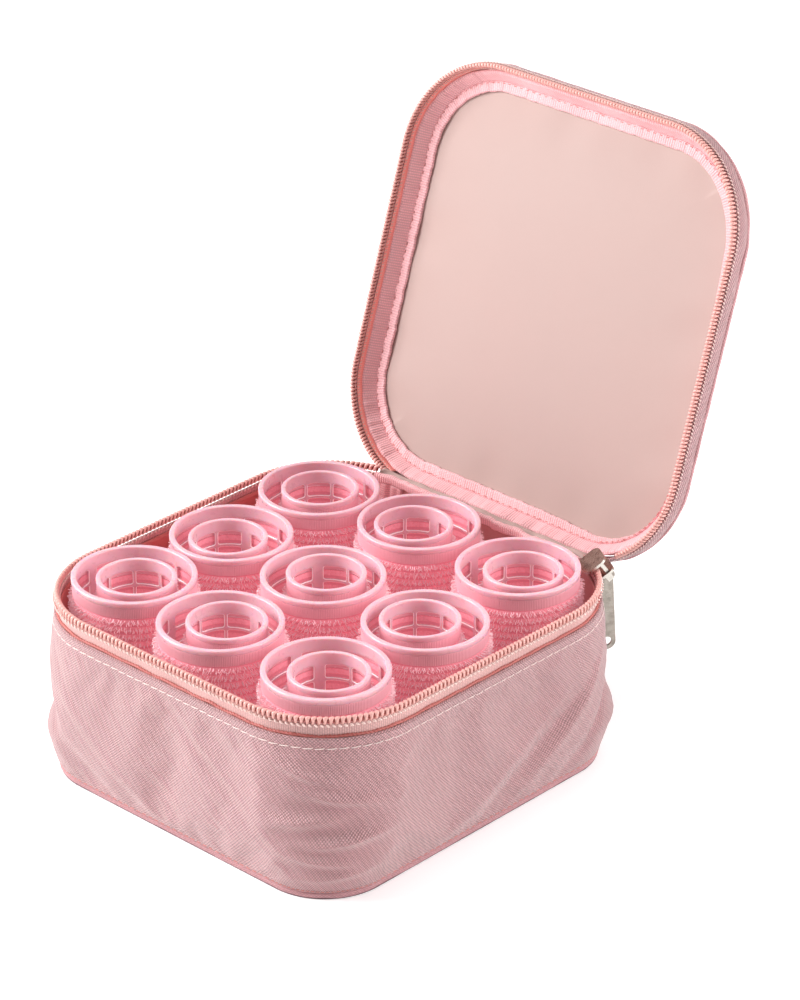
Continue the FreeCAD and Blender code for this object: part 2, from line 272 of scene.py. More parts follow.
def make_piece(name, parts, *materials):
    """One mesh object from parts, all of one material or each of its own."""
    mesh = bpy.data.meshes.new(name)
    loops, totals, flats, shades, first = [], [], [], [], 0
    for number, part in enumerate(parts):
        for faces, flat in zip(part.faces, part.flats):
            loops.append((faces + first).ravel())
            totals.append(np.full(len(faces), faces.shape[1]))
            flats.append(flat.reshape(-1, 2))
            shades.append(np.full(len(faces), number if len(materials) > 1 else 0))
        first += len(part.points)
    points = np.concatenate([part.points for part in parts]) * MM
    loops, totals = np.concatenate(loops), np.concatenate(totals)
    mesh.vertices.add(len(points))
    mesh.vertices.foreach_set("co", points.astype(np.float32).ravel())
    mesh.loops.add(len(loops))
    mesh.loops.foreach_set("vertex_index", loops.astype(np.int32))
    mesh.polygons.add(len(totals))
    starts = np.concatenate([[0], np.cumsum(totals)[:-1]])
    mesh.polygons.foreach_set("loop_start", starts.astype(np.int32))
    mesh.polygons.foreach_set("material_index", np.concatenate(shades).astype(np.int32))
    mesh.polygons.foreach_set("use_smooth", np.full(len(totals), True))
    layer = mesh.uv_layers.new(name="UVMap")
    layer.data.foreach_set("uv", np.concatenate(flats).astype(np.float32).ravel())
    mesh.update(calc_edges=True)
    for each in materials:
        mesh.materials.append(each)
    piece = bpy.data.objects.new(name, mesh)
    bpy.context.scene.collection.objects.link(piece)
    return piece


def add(name, body, slot, parts, *materials, node=None):
    """A piece that rides on a body and may stand for a CAD node; slot, the name of its finish, is not
    used.
    """
    piece = make_piece(name, parts, *materials)
    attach(piece, body)
    if node:
        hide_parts(node)
    return piece


def loop_section(low, high, radius, steps=(3, 4, 3, 4)):
    """Closed rounded outline between two corners of a section, as outsets and heights.
    steps counts the pieces of a corner, the top, another corner and a side."""
    low, high = np.array(low, float), np.array(high, float)
    centre, half = (low + high) / 2, (high - low) / 2
    radius = min(radius, *(half * 0.999))
    phase = np.concatenate([k + np.arange(n) / n for k, n in enumerate(steps * 2)])
    x, y, _, _ = rounded((half[0], half[1], radius), phase)
    return x + centre[0], y + centre[1]


def evenly(start, end, step, closed=False):
    """Places spread evenly between two distances, about a step apart."""
    count = max(2, int(round((end - start) / step)))
    return np.linspace(start, end, count, endpoint=not closed)


def sweep(place, section, step, change=None, run=None):
    """Carry a closed section of outsets and heights round an outline, or along a run of it."""
    distance = evenly(*(run or (0, ROUND)), step, run is None)[:, None]
    outset, height = section[0][None], section[1][None]
    if change is not None:
        outset, height = change(distance, outset, height)
    return grid(place(distance, outset, height), (run is None, True), run is not None)


def circle(count, wide, tall=None):
    """Points round an oval or a circle, as outsets and heights."""
    turn = np.arange(count) * TURN / count
    return wide * np.cos(turn), (tall or wide) * np.sin(turn)


def stitch_run(length, filled, count):
    """Where each stitch of a seam round the case starts, how far along a stitch its points
    are, and their distances. filled is the share of its length that a stitch covers."""
    pitch = ROUND / round(ROUND / length)
    starts = np.arange(0, ROUND - 0.1, pitch)[:, None]
    share = np.linspace(0, 1, count)
    return starts, share, starts + pitch * filled * share


def ripple(distance, length, seed):
    """Smooth irregular wave of about unit height that closes round the case."""
    rng = np.random.default_rng(seed)
    turns = max(1, round(ROUND / length))
    total = np.zeros_like(np.asarray(distance, float))
    for octave in (0, 0, 0, 1, 1, 1, 2, 2, 2):
        waves = max(1, int(turns * 1.7 ** octave * rng.uniform(0.7, 1.3)))
        shift, height = rng.uniform(0, TURN), rng.uniform(0.5, 1) * 0.62 ** octave
        total = total + height * np.sin(waves * TURN * distance / ROUND + shift)
    return total / 2.6


CLOTH = {"quality": 6, "mass": 0.15, "tension_stiffness": 9.0, "compression_stiffness": 9.0,
         "shear_stiffness": 4.5, "bending_stiffness": 0.35, "shrink_min": -0.012,
         "shrink_max": -0.012, "vertex_group_mass": "held"}
CLOTH_FRAMES = 24
CLOTH_SCALE = 10 * MM      # the cloth settles ten times larger than it is


def draped(points, held):
    """Let a band of cloth round the case, a little larger than its frame, settle into folds by
    cloth simulation, and give back where its points come to rest."""
    flat = grid(points, (True, False))
    mesh = bpy.data.meshes.new("drape")
    mesh.from_pydata((flat.points * CLOTH_SCALE).tolist(), [], flat.faces[0].tolist())
    body = bpy.data.objects.new("drape", mesh)
    bpy.context.scene.collection.objects.link(body)
    group = body.vertex_groups.new(name="held")
    group.add(np.flatnonzero(held.ravel()).tolist(), 1.0, "REPLACE")
    cloth = body.modifiers.new("drape", "CLOTH")
    for setting, value in CLOTH.items():
        setattr(cloth.settings, setting, value)
    cloth.settings.effector_weights.gravity = 0.0
    cloth.collision_settings.use_collision = False
    cloth.point_cache.frame_start, cloth.point_cache.frame_end = 1, CLOTH_FRAMES
    for step in range(1, CLOTH_FRAMES + 1):
        bpy.context.scene.frame_set(step)
    settled = body.evaluated_get(bpy.context.evaluated_depsgraph_get()).data
    places = np.empty(len(settled.vertices) * 3, np.float32)
    settled.vertices.foreach_get("co", places)
    bpy.context.scene.frame_set(1)
    bpy.data.objects.remove(body)
    bpy.data.meshes.remove(mesh)
    return places.reshape(points.shape).astype(float) / CLOTH_SCALE


def sampled(field, row, column):
    """Value of a grid between its points; the rows close on themselves."""
    row, column = np.broadcast_arrays(row, np.clip(column, 0, field.shape[1] - 1.001))
    i, j = np.floor(row).astype(int), np.floor(column).astype(int)
    a, b = row - i, column - j
    i, i2 = i % len(field), (i + 1) % len(field)
    return ((field[i, j] * (1 - b) + field[i, j + 1] * b) * (1 - a)
            + (field[i2, j] * (1 - b) + field[i2, j + 1] * b) * a)


RUN_START = back_distance(-45.0)
RUN_END = ROUND + back_distance(46.0)
LID_RUN_END = ROUND + back_distance(LID_STOP)


# ---- materials ----
class Look:
    """A procedural material, built round its principled shader."""

    def __init__(self, name, colour, **sockets):
        self.material = bpy.data.materials.new(name)
        self.material.use_nodes = True
        self.tree = self.material.node_tree
        self.shader = self.tree.nodes["Principled BSDF"]
        sockets["Base_Color"] = (*colour, 1.0)
        for socket, value in sockets.items():
            self.shader.inputs[socket.replace("_", " ")].default_value = value

    def node(self, kind, inputs=None, **settings):
        made = self.tree.nodes.new(kind)
        for key, value in settings.items():
            setattr(made, key, value)
        for key, value in (inputs or {}).items():
            self.join(value, made.inputs[key])
        return made

    def join(self, value, socket):
        if isinstance(value, bpy.types.NodeSocket):
            self.tree.links.new(value, socket)
        else:
            socket.default_value = value

    def math(self, operation, *values):
        inputs = dict(enumerate(values))
        return self.node("ShaderNodeMath", inputs, operation=operation).outputs[0]

    def plus(self, first, second):
        return self.math("ADD", first, second)

    def times(self, first, second):
        return self.math("MULTIPLY", first, second)

    def flat_place(self):
        """Place on the flat cloth in millimetres, along and across."""
        coordinates = self.node("ShaderNodeTexCoord").outputs["UV"]
        split = self.node("ShaderNodeSeparateXYZ", {0: coordinates}).outputs
        return self.math("DIVIDE", split[0], MM), self.math("DIVIDE", split[1], MM)

    def solid_place(self):
        return self.node("ShaderNodeTexCoord").outputs["Object"]

    def wave(self, place, pitch, shift=0.0):
        """Cosine wave from 0 to 1 over a place in millimetres."""
        turn = self.plus(self.times(place, TURN / pitch), shift)
        return self.plus(self.times(self.math("COSINE", turn), 0.5), 0.5)

    def noise(self, scale, detail=3.0, place=None):
        """Noise from 0 to 1; scale is features for each metre."""
        inputs = {"Vector": place or self.solid_place(), "Scale": scale, "Detail": detail}
        return self.node("ShaderNodeTexNoise", inputs).outputs["Fac"]

    def spread(self, value, low, high, to_low=0.0, to_high=1.0):
        inputs = {0: value, 1: low, 2: high, 3: to_low, 4: to_high}
        return self.node("ShaderNodeMapRange", inputs).outputs[0]

    def mix(self, share, first, second):
        made = self.node("ShaderNodeMix", data_type="RGBA")
        for socket, value in zip((made.inputs[0], made.inputs[6], made.inputs[7]),
                                 (share, first, second)):
            if isinstance(value, tuple) and len(value) == 3:
                value = (*value, 1.0)
            self.join(value, socket)
        return made.outputs[2]

    def finish(self, **sockets):
        """Link what the nodes make to the shader's sockets and give back the material."""
        for socket, value in sockets.items():
            self.tree.links.new(value, self.shader.inputs[socket.replace("_", " ")])
        return self.material

    def bump(self, height, depth):
        """Height in units of depth, which is in millimetres."""
        inputs = {"Height": height, "Distance": depth * MM, "Strength": 1.0}
        return self.node("ShaderNodeBump", inputs).outputs[0]


def shade(colour, factor):
    """A lighter or darker version of a colour."""
    return tuple(min(1.0, part * factor) for part in colour)


def woven(name, colour, pitch, depth, contrast=0.22, **sockets):
    """Plain woven cloth: dots where one thread crosses over another, with soft mottling, and painted
    shade on the low threads between the dots, as strong as contrast.
    """
    look = Look(name, colour, **sockets)
    u, v = look.flat_place()
    over = look.times(look.wave(u, pitch), look.wave(v, pitch))
    under = look.times(look.wave(u, pitch, math.pi), look.wave(v, pitch, math.pi))
    dots = look.math("MAXIMUM", over, under)
    diagonal = look.wave(look.plus(u, look.times(v, 0.62)), pitch * 2.3)
    height = look.plus(look.times(dots, 0.85), look.times(diagonal, 0.15))
    mottle = look.spread(look.noise(90.0, 2.0), 0.3, 0.7)
    patch = look.mix(mottle, shade(colour, 0.93), shade(colour, 1.05))
    # painted shade: the low threads between the dots are darkened by contrast
    threads = look.mix(look.spread(height, 0.1, 0.95), shade(colour, 1 - contrast), patch)
    return look.finish(Base_Color=threads, Normal=look.bump(height, depth),
                       Roughness=look.spread(height, 0.0, 1.0, 0.48, 0.27))


def ribbed(name, colour, pitch, dash, depth, **sockets):
    """Grosgrain ribbon or knitted tape: ribs across its length, broken into dashes, with painted
    shade in the grooves between the ribs.
    """
    look = Look(name, colour, **sockets)
    u, v = look.flat_place()
    row = look.times(look.math("FLOOR", look.math("DIVIDE", u, pitch)), math.pi)
    dashes = look.wave(v, dash, row)
    height = look.times(look.wave(u, pitch, math.pi), look.plus(0.45, look.times(dashes, 0.55)))
    mottle = look.spread(look.noise(140.0, 2.0), 0.3, 0.7)
    light = look.mix(mottle, colour, shade(colour, 1.08))
    # painted shade: the grooves between ribs are darkened to 0.74 of the colour
    threads = look.mix(look.spread(height, 0.0, 0.8), shade(colour, 0.74), light)
    return look.finish(Base_Color=threads, Normal=look.bump(height, depth),
                       Roughness=look.spread(height, 0.0, 1.0, 0.62, 0.42))


def satin(name, colour, deep, back=None, **sockets):
    """Smooth lining cloth with a fine grain and slow changes of tone. back is a paler tone
    painted near the hinge as painted light, where the back of the tub is lit."""
    look = Look(name, colour, **sockets)
    u, v = look.flat_place()
    slow = look.noise(14.0, 3.0)
    fine = look.noise(2600.0, 1.0)
    threads = look.times(look.wave(u, 0.42), look.wave(v, 0.3))
    base = look.mix(look.spread(slow, 0.35, 0.65), deep, colour)
    if back:
        # painted light: towards the hinge the lining is painted the paler back tone
        rear = look.node("ShaderNodeSeparateXYZ", {0: look.solid_place()}).outputs[1]
        base = look.mix(look.spread(rear, 0.058, 0.067), base, back)
    grain = look.plus(look.times(fine, 0.6), look.times(threads, 0.4))
    tone = look.mix(look.spread(grain, 0.25, 0.75, 0.0, 0.35), base, shade(colour, 0.9))
    return look.finish(Base_Color=tone, Roughness=look.spread(slow, 0.3, 0.7, 0.5, 0.62),
                       Normal=look.bump(grain, 0.02))


def rows_of_hooks(name, colour, deep, **sockets):
    """Woven rows that carry the hooks, with painted shade in the groove between one row and the next.
    """
    look = Look(name, colour, **sockets)
    height = look.node("ShaderNodeSeparateXYZ", {0: look.solid_place()}).outputs[2]
    row = look.wave(look.math("DIVIDE", height, MM), HOOK_BAND)
    fine = look.noise(1400.0, 2.0)
    thread_light = look.mix(look.spread(fine, 0.35, 0.65), shade(colour, 0.82), shade(colour, 1.1))
    # painted shade: the deep colour fills the grooves between rows of hooks
    rows = look.mix(look.spread(row, 0.12, 0.5), deep, thread_light)
    return look.finish(Base_Color=rows, Normal=look.bump(fine, 0.15))


def moulded(name, colour, mark, **sockets):
    """Moulded plastic with faint cloudiness and an uneven polish."""
    look = Look(name, colour, **sockets)
    cloud = look.spread(look.noise(160.0, 4.0), 0.3, 0.7)
    scratch = look.spread(look.noise(520.0, 3.0), 0.35, 0.7, 0.26, 0.42)
    return look.finish(Base_Color=look.mix(cloud, colour, mark), Roughness=scratch)


def thread(name, colour, **sockets):
    """Twisted sewing thread."""
    look = Look(name, colour, **sockets)
    twist = look.noise(3200.0, 2.0)
    tone = look.mix(twist, shade(colour, 0.86), shade(colour, 1.06))
    return look.finish(Base_Color=tone, Normal=look.bump(twist, 0.05))


def brushed(name, colour, dark, grain, edge=None):
    """Plated metal with a brushed grain and darker rubbed patches. edge is the paler tone given
    to faces that do not look up, its sides and bevels."""
    look = Look(name, colour, Metallic=1.0)
    stretch = look.node("ShaderNodeMapping", {"Vector": look.solid_place(), "Scale": grain})
    lines = look.noise(900.0, 4.0, stretch.outputs[0])
    worn = look.spread(look.noise(420.0, 3.0), 0.42, 0.72)
    tone = look.mix(worn, colour, dark)
    if edge:
        facing = look.node("ShaderNodeNewGeometry").outputs["Normal"]
        up = look.node("ShaderNodeSeparateXYZ", {0: facing}).outputs[2]
        # faces that do not look up take the paler edge tone
        tone = look.mix(look.spread(up, 0.35, 0.5), edge, tone)
    return look.finish(Base_Color=tone, Roughness=look.spread(lines, 0.3, 0.7, 0.2, 0.42),
                       Normal=look.bump(lines, 0.02))


HOOK_BAND = 2.6            # height of one woven row of hooks
SHELL = (0.68, 0.335, 0.35)
CORAL = (0.58, 0.15, 0.13)
PEACH = (0.66, 0.37, 0.35)
SATIN = (0.455, 0.31, 0.28)
RIBBON = (0.88, 0.46, 0.48)
TOOTH = (0.76, 0.39, 0.35)
PLASTIC = (0.71, 0.43, 0.49)
HOOKS = (0.90, 0.33, 0.40)
# painted highlight: near-white tone of the soft edges of the rollers' windows
EDGE_HIGHLIGHT = (0.97, 0.78, 0.81)
INNER_TAPE = (0.86, 0.30, 0.26)

shell_cloth = woven("shell_cloth", SHELL, 1.04, 0.3, 0.6, Sheen_Weight=0.45,
                    Sheen_Roughness=0.35, Specular_IOR_Level=0.8)
edge_cloth = woven("edge_cloth", shade(SHELL, 1.06), 1.04, 0.16, 0.35, Sheen_Weight=0.2)
coral_cloth = woven("coral_cloth", CORAL, 0.5, 0.05, Sheen_Weight=0.1)
# tub lining: its coral is partly the cloth's own colour and partly painted shade from light bounced
# round the tub; the third colour is painted light near the hinge
tub_satin = satin("tub_satin", shade(CORAL, 1.12), shade(CORAL, 0.9), shade(SATIN, 1.5),
                  Sheen_Weight=0.15)
lid_satin = satin("lid_satin", SATIN, shade(SATIN, 0.95), Sheen_Weight=0.15)
# Emission_Strength on the cloths and plastics here and below is a painted glow that lifts them out of
# shade
ribbon_cloth = ribbed("ribbon_cloth", RIBBON, 0.9, 0.8, 0.14, Sheen_Weight=0.3,
                      Sheen_Roughness=0.35, Emission_Strength=0.12)
foot_cloth = woven("foot_cloth", (0.60, 0.29, 0.31), 1.04, 0.2, 0.3)
# cord under the foot: a real edge, painted near-black as a contact shadow
welt_cord_and_shadow = thread("welt_cord_and_shadow", (0.13, 0.06, 0.075), Roughness=0.7)
tape_cloth = ribbed("tape_cloth", PEACH, 0.75, 1.1, 0.06, Sheen_Weight=0.15)
inner_tape_cloth = ribbed("inner_tape_cloth", INNER_TAPE, 0.75, 1.1, 0.05,
                          Sheen_Weight=0.2, Emission_Strength=0.3)
tooth_plastic = moulded("tooth_plastic", TOOTH, shade(TOOTH, 0.93), Emission_Strength=0.08)
bead_thread = thread("bead_thread", (0.84, 0.60, 0.55), Roughness=0.5, Sheen_Weight=0.2)
white_thread = thread("white_thread", (0.86, 0.68, 0.65), Roughness=0.5, Sheen_Weight=0.2)
cord_cloth = woven("cord_cloth", (0.34, 0.07, 0.055), 0.5, 0.05)
coral_thread = thread("coral_thread", (0.62, 0.22, 0.20), Roughness=0.6)
clear_plastic = moulded("clear_plastic", PLASTIC, shade(PLASTIC, 1.05), Subsurface_Weight=0.5,
                        Subsurface_Scale=0.003, Coat_Weight=0.35, Coat_Roughness=0.15,
                        Emission_Strength=0.1)
# painted highlight on the windows' soft edges, near-white and glowing
edge_highlight_plastic = moulded("edge_highlight_plastic", EDGE_HIGHLIGHT, (0.98, 0.86, 0.88),
                       Coat_Weight=0.3, Emission_Strength=0.22)
# hook_cloth's second colour is the painted shade between its rows
hook_cloth = rows_of_hooks("hook_cloth", HOOKS, (0.70, 0.18, 0.24), Sheen_Weight=0.2,
                           Emission_Strength=0.2)
band_cloth = satin("band_cloth", (0.82, 0.36, 0.42), (0.78, 0.33, 0.39), Sheen_Weight=0.25,
                   Emission_Strength=0.14)
hook_plastic = moulded("hook_plastic", (0.95, 0.55, 0.60), (0.98, 0.68, 0.72),
                       Emission_Strength=0.2)
nickel = brushed("nickel", (0.38, 0.34, 0.30), (0.26, 0.23, 0.20), (1.0, 1.0, 14.0))
bronze = brushed("bronze", (0.46, 0.30, 0.25), (0.28, 0.17, 0.14), (12.0, 1.0, 1.0),
                 (0.62, 0.58, 0.53))
board_grey = moulded("board_grey", (0.35, 0.33, 0.32), (0.30, 0.28, 0.27))
# painted glow: these cloths and plastics glow in their own colour, which lifts them where the case
# shades them
for painted_glow, colour in ((clear_plastic, PLASTIC), (edge_highlight_plastic, EDGE_HIGHLIGHT), (ribbon_cloth, RIBBON),
                        (inner_tape_cloth, INNER_TAPE), (tooth_plastic, TOOTH),
                        (hook_cloth, HOOKS), (band_cloth, PLASTIC), (hook_plastic, PLASTIC)):
    shader = painted_glow.node_tree.nodes["Principled BSDF"]
    shader.inputs["Emission Color"].default_value = (*colour, 1.0)


# ---- tub ----
TUB_FULLNESS = 5.0         # how soon the wall stands upright above its foot
CREASE = {
    # place: distance from a corner, height, half length, half height, slope, depth
    "front_right": ((-5, 44, 10, 2.0, -0.3, 1.4), (3, 37, 12, 2.2, -0.2, 1.7),
                    (-6, 29, 11, 2.4, 0.15, 1.3), (5, 22, 13, 2.2, 0.1, 1.8),
                    (-2, 15, 11, 2.0, -0.12, 1.6), (2, 9, 12, 1.8, 0.1, 1.5)),
    "back_right": ((-38, 26, 30, 4.5, 0.75, -0.9), (-24, 33, 26, 4.0, 0.95, 0.9),
                   (-14, 22, 26, 4.2, 0.8, -1.1), (-2, 16, 12, 5.0, 0.1, 1.6),
                   (0, 29, 9, 3.0, 0.35, -1.5), (-52, 24, 26, 5.0, 0.7, 0.7),
                   (16, 25, 16, 5.0, -0.5, -0.7)),
    "front_left": ((-2, 14, 13, 5.5, 0.0, 1.2), (0, 27, 10, 4.0, -0.2, -0.8),
                   (14, 20, 22, 5.0, -0.6, -0.6), (8, 40, 18, 4.0, -0.5, 0.5)),
    "back_left": ((0, 16, 14, 5.0, 0.1, 1.0), (-14, 30, 20, 4.5, 0.5, -0.7),
                  (14, 26, 20, 5.0, -0.5, 0.6)),
}


def creases(distance, z):
    """How far the folds of the wall stand out."""
    total = np.zeros(np.broadcast(distance, z).shape)
    for corner, rows in CREASE.items():
        for along, height, half_long, half_tall, slope, depth in rows:
            d = gap_to(distance, CORNER_AT[corner] + along)
            off = (z - height - slope * d) / half_tall
            total += 1.5 * depth * np.exp(-(d / half_long) ** 2 - np.abs(off) ** 1.6)
    return total


def wall_shape(distance, z):
    """How far the wall's cloth stands past its straight taper before it settles."""
    share = np.clip(z / WALL_HIGH[2], 0, 1)
    full = (RIM[0] - FOOT[0]) * (1 - (1 - share) ** TUB_FULLNESS - share)
    slack = np.sin(math.pi * share) ** 0.7
    soft = 0.3 * ripple(distance, 60, 11) + 0.2 * ripple(distance + 1.2 * z, 17, 12)
    return full + slack * (soft + creases(distance, z))


DRAPE_LOW, DRAPE_HIGH = FOOT_HIGH[2] + 0.6, WALL_HIGH[2] - 4.2
DRAPE_STEP = 1.5


def settle_wall():
    """Folds of the wall's cloth between its foot and its seam, from a simulation."""
    distance = evenly(0, ROUND, DRAPE_STEP, True)
    z = evenly(DRAPE_LOW, DRAPE_HIGH, DRAPE_STEP)
    distance, z = np.meshgrid(distance, z, indexing="ij")
    start = at_wall(distance, wall_shape(distance, z), z)
    held = (z == z.min()) | (z == z.max())
    moved = draped(start, held) - start
    _, _, across, along = rounded(RIM, phase_of(distance))
    return moved[..., 0] * across + moved[..., 1] * along


WALL_FOLDS = settle_wall()


def wall_outset(distance, z):
    """How far the wall's cloth stands past its straight taper."""
    row = distance / ROUND * len(WALL_FOLDS)
    column = (z - DRAPE_LOW) / (DRAPE_HIGH - DRAPE_LOW) * (WALL_FOLDS.shape[1] - 1)
    shape = wall_shape(distance, z) + sampled(WALL_FOLDS, row, column)
    return np.maximum(shape, -0.7 + 0.25 * np.tanh(shape + 0.7))


def make_wall():
    """Outer cloth of the tub, folded over at its rim."""
    low, top = FOOT_HIGH[2], WALL_HIGH[2]
    rise = np.linspace(low, top - 0.5, 92)
    over = np.linspace(0, math.pi, 7)
    down = np.linspace(top - 0.5, low, 14)
    outset = np.concatenate([0 * rise, -0.5 + 0.5 * np.cos(over), 0 * down - 1.0])
    height = np.concatenate([rise, top - 0.5 + 0.5 * np.sin(over), down])
    outside = np.repeat([1.0, 0.6], [len(rise) + len(over), len(down)])

    def change(distance, outset, z):
        return outset + outside * wall_outset(distance, z), z

    wall = sweep(at_wall, (outset, height), 0.62, change)
    piece = add("tub_wall_cloth", "case", "shell_cloth", [wall], shell_cloth,
                node="base_wall_fabric")


def make_foot():
    """Soft roll of cloth round the foot of the tub, the dark cord under it, painted near-black as a
    contact shadow, and its seam.
    """
    section = loop_section((-1.5, 0.0), (0.45, FOOT_HIGH[2] + 0.1), 0.8, (5, 3, 5, 6))

    def change(distance, outset, z):
        swell = 0.12 * ripple(distance, 30, 21) * (outset > 0)
        return outset + 0.3 * np.sin(math.pi * z / FOOT_HIGH[2]) + swell, z

    across, up = circle(8, 0.32)
    roll = sweep(at_wall, section, 0.9, change)
    welt = sweep(at_wall, (0.25 + across, 0.34 + up), 0.9)
    add("tub_foot_roll", "case", "piping_cloth", [roll, welt], foot_cloth, welt_cord_and_shadow,
        node="base_bottom_piping")
    _, share, distance = stitch_run(2.2, 0.62, 6)
    lift = 0.12 * np.sin(math.pi * share) - 0.05
    z = FOOT_HIGH[2] + 0.42 + 0 * distance
    points = at_wall(distance, wall_outset(distance, z) + lift, z)
    add("tub_foot_stitching", "case", "piping_cloth", [strands(points, 0.17, 5)],
        coral_thread)


def panel(outline, smaller, places, steps, wrap, filled):
    """Level panel of rings inside an outline made smaller, each with an inset and a height.
    The two filled rings close it."""
    phase = np.arange(0, 8, 1 / steps)
    rings = []
    for inset, z in places:
        half_x, half_y, radius = [side - smaller - inset for side in outline]
        x, y, _, _ = rounded((half_x, half_y, max(radius, 2.0)), phase)
        rings.append(np.stack([x, y, 0 * x + z], -1))
    part = grid(np.stack(rings, 1), (True, wrap))
    for ring, way in zip(filled, (-1, 1)):
        loop = np.arange(len(phase)) * len(rings) + ring
        part.faces.append(loop[::way][None])
        part.flats.append(part.points[part.faces[-1]][..., :2] * MM)
    return part


def laid_flat(part):
    """The same part, whose flat cloth lies as the part does."""
    part.flats = [part.points[faces][..., :2] * MM for faces in part.faces]
    return part


def make_bottom():
    """Flat underside of the tub."""
    places = ((0.0, 0.35), (0.35, 0.02), (8.0, 0.0), (30.0, 0.12), (62.0, 0.12),
              (62.0, 1.4), (30.0, 1.4), (0.6, 1.4), (0.0, 1.2))
    bottom = laid_flat(panel(FOOT, 1.55, places, 24, True, (4, 5))).turned_out()
    piece = add("tub_bottom_cloth", "case", "shell_cloth", [bottom], edge_cloth,
                node="base_bottom_panel")


def make_rim_stitches():
    """Running stitch under the tub's rim."""
    starts, share, distance = stitch_run(3.5, 0.86, 9)
    z = WALL_HIGH[2] - 3.2 + 0.22 * (share - 0.5) + 0.08 * ripple(starts, 9, 31)
    lift = 0.2 * np.sin(math.pi * share) ** 0.5 - 0.06
    points = at_wall(distance, wall_outset(distance, z) + lift, z)
    thick = 0.17 * (0.5 + 0.5 * np.sin(math.pi * share) ** 0.4)
    add("tub_rim_stitching", "case", "binding_ribbon", [strands(points, thick, 6)],
        white_thread)


def make_turned_edge():
    """Twisted coral edge that shows between the tub's wall and its zip tape."""
    def change(distance, outset, z):
        twist = 1.1 + 0.35 * np.cos(TURN * distance / 1.3 + 2 * np.arctan2(z, outset))
        wander = 0.12 * ripple(distance, 14, 41)
        return (outset * twist + 0.75 + wander,
                z * twist + WALL_HIGH[2] + 0.12 + 0.2 * ripple(distance, 18, 42))

    cord = sweep(at_rim, circle(8, 0.5), 0.24, change)
    add("tub_turned_edge", "case", "piping_cloth", [cord], coral_cloth)


def tape_change(height, amount, seed):
    """Fine knitted ribs and a slow wave for a zip tape."""
    def change(distance, outset, z):
        rib = amount * np.cos(TURN * distance / 0.75)
        outer = outset > 0.3
        wave = 0.1 * ripple(distance, 26, seed) * np.clip((height - z) / 4, 0, 1)
        return outset + wave + np.where(outer, rib, -rib), z
    return change


def coil_parts(place, run, plane, side, tooth_pitch):
    """Helical coil with broad heads along the meeting plane, round its filler cord.
    side is -1 for the half below the plane and 1 for the half above."""
    start, end = run
    turns = int((end - start) / tooth_pitch)
    pitch = (end - start) / turns
    steps = 20
    count = turns * steps + 1
    turn = np.arange(count) * TURN / steps
    middle = plane + side * COIL_TALL / 2
    tall, wide = COIL_TALL / 2 - 0.34, COIL_WIDTH / 2 - 0.34
    power = 0.62
    c, s = np.cos(turn), np.sin(turn)
    radial = wide * np.sign(c) * np.abs(c) ** power
    up = tall * np.sign(s) * np.abs(s) ** power
    distance = start + pitch * (turn - 0.85 * s) / TURN
    head = np.clip((up / tall + 1) / 2, 0, 1)
    broad = pitch * (0.27 + 0.21 * head ** 4)
    thin = 0.30 + 0.04 * head
    ahead = np.stack([np.gradient(radial), np.gradient(up)], -1)
    ahead /= np.linalg.norm(ahead, axis=-1, keepdims=True)
    out_r, out_z = ahead[:, 1], -ahead[:, 0]
    around = np.arange(8) * TURN / 8
    along = broad[:, None] * np.cos(around)
    off = thin[:, None] * np.sin(around)
    points = place(distance[:, None] + along,
                   COIL_WIDTH / 2 + radial[:, None] + off * out_r[:, None],
                   middle - side * (up[:, None] + off * out_z[:, None]))
    coil = grid(points, (False, True), True)
    across, rise = circle(8, 0.5, 0.78)
    return [coil, sweep(place, (COIL_WIDTH / 2 + across, middle + rise), 0.9, run=run)]


def bead_parts(place, run, plane, side, tooth_pitch):
    """Rows of lock stitches that hold a coil down on its tape, two outside and one inside."""
    start, end = run
    turns = int((end - start) / tooth_pitch)
    pitch = (end - start) / turns
    share = np.linspace(0, 1, 7)
    thick = 0.2 * tooth_pitch * np.sin(math.pi * np.clip(share, 0.06, 0.94)) ** 0.5
    parts = []
    for drop, outset, size, tilt in ((0.05, COIL_WIDTH + 0.02, 1.0, 0.55),
                                     (0.75, 0.82, 0.78, 0.5)):
        starts = start + pitch * (np.arange(turns) + 0.5)[:, None]
        distance = starts + tilt * pitch * (share - 0.5)
        z = plane + side * (drop + 0.85 * size * (share - 0.5))
        bulge = outset + 0.16 * np.sin(math.pi * share)
        parts.append(strands(place(distance, bulge, z), thick * size, 6))
    inner_starts = start + pitch * np.arange(1, turns)[:, None]
    distance = inner_starts + 0.5 * pitch * (share - 0.5)
    z = plane + side * (0.3 + 0.8 * (share - 0.5))
    parts.append(strands(place(distance, -0.12, z), thick * 0.9, 6))
    return parts


def add_zip(half, body, place, run, plane, side, tooth_pitch, names):
    """Tape, woven-in coil and the thread that holds it, for one half of the zip. half is the
    parts and materials of the tape, and names are the three pieces' names."""
    tape_name, coil_name, stitching_name = names
    cad = "base" if body == "case" else "lid"
    add(tape_name, body, "zip_tape", *half, node=cad + "_zip_tape")
    add(coil_name, body, "zip_coil", coil_parts(place, run, plane, side, tooth_pitch),
        tooth_plastic, cord_cloth, node=cad + "_zip_coil")
    add(stitching_name, body, "zip_tape",
        bead_parts(place, run, plane + side * COIL_TALL, side, tooth_pitch), bead_thread)


def make_tub_zip():
    """The tub's half of the zip."""
    run, top = (RUN_START, RUN_END), ZIP_PLANE - COIL_TALL
    section = loop_section((0.02, TAPE_LOW[2]), (0.6, top), 0.25, (2, 1, 2, 12))
    tape = sweep(at_rim, section, TAPE_STEP, tape_change(top, 0.05, 51), run)
    add_zip(([tape], tape_cloth), "case", at_rim, run, ZIP_PLANE, -1, TEETH_PITCH,
            ("tub_zip_tape", "tub_zip_coil", "tub_coil_stitching"))


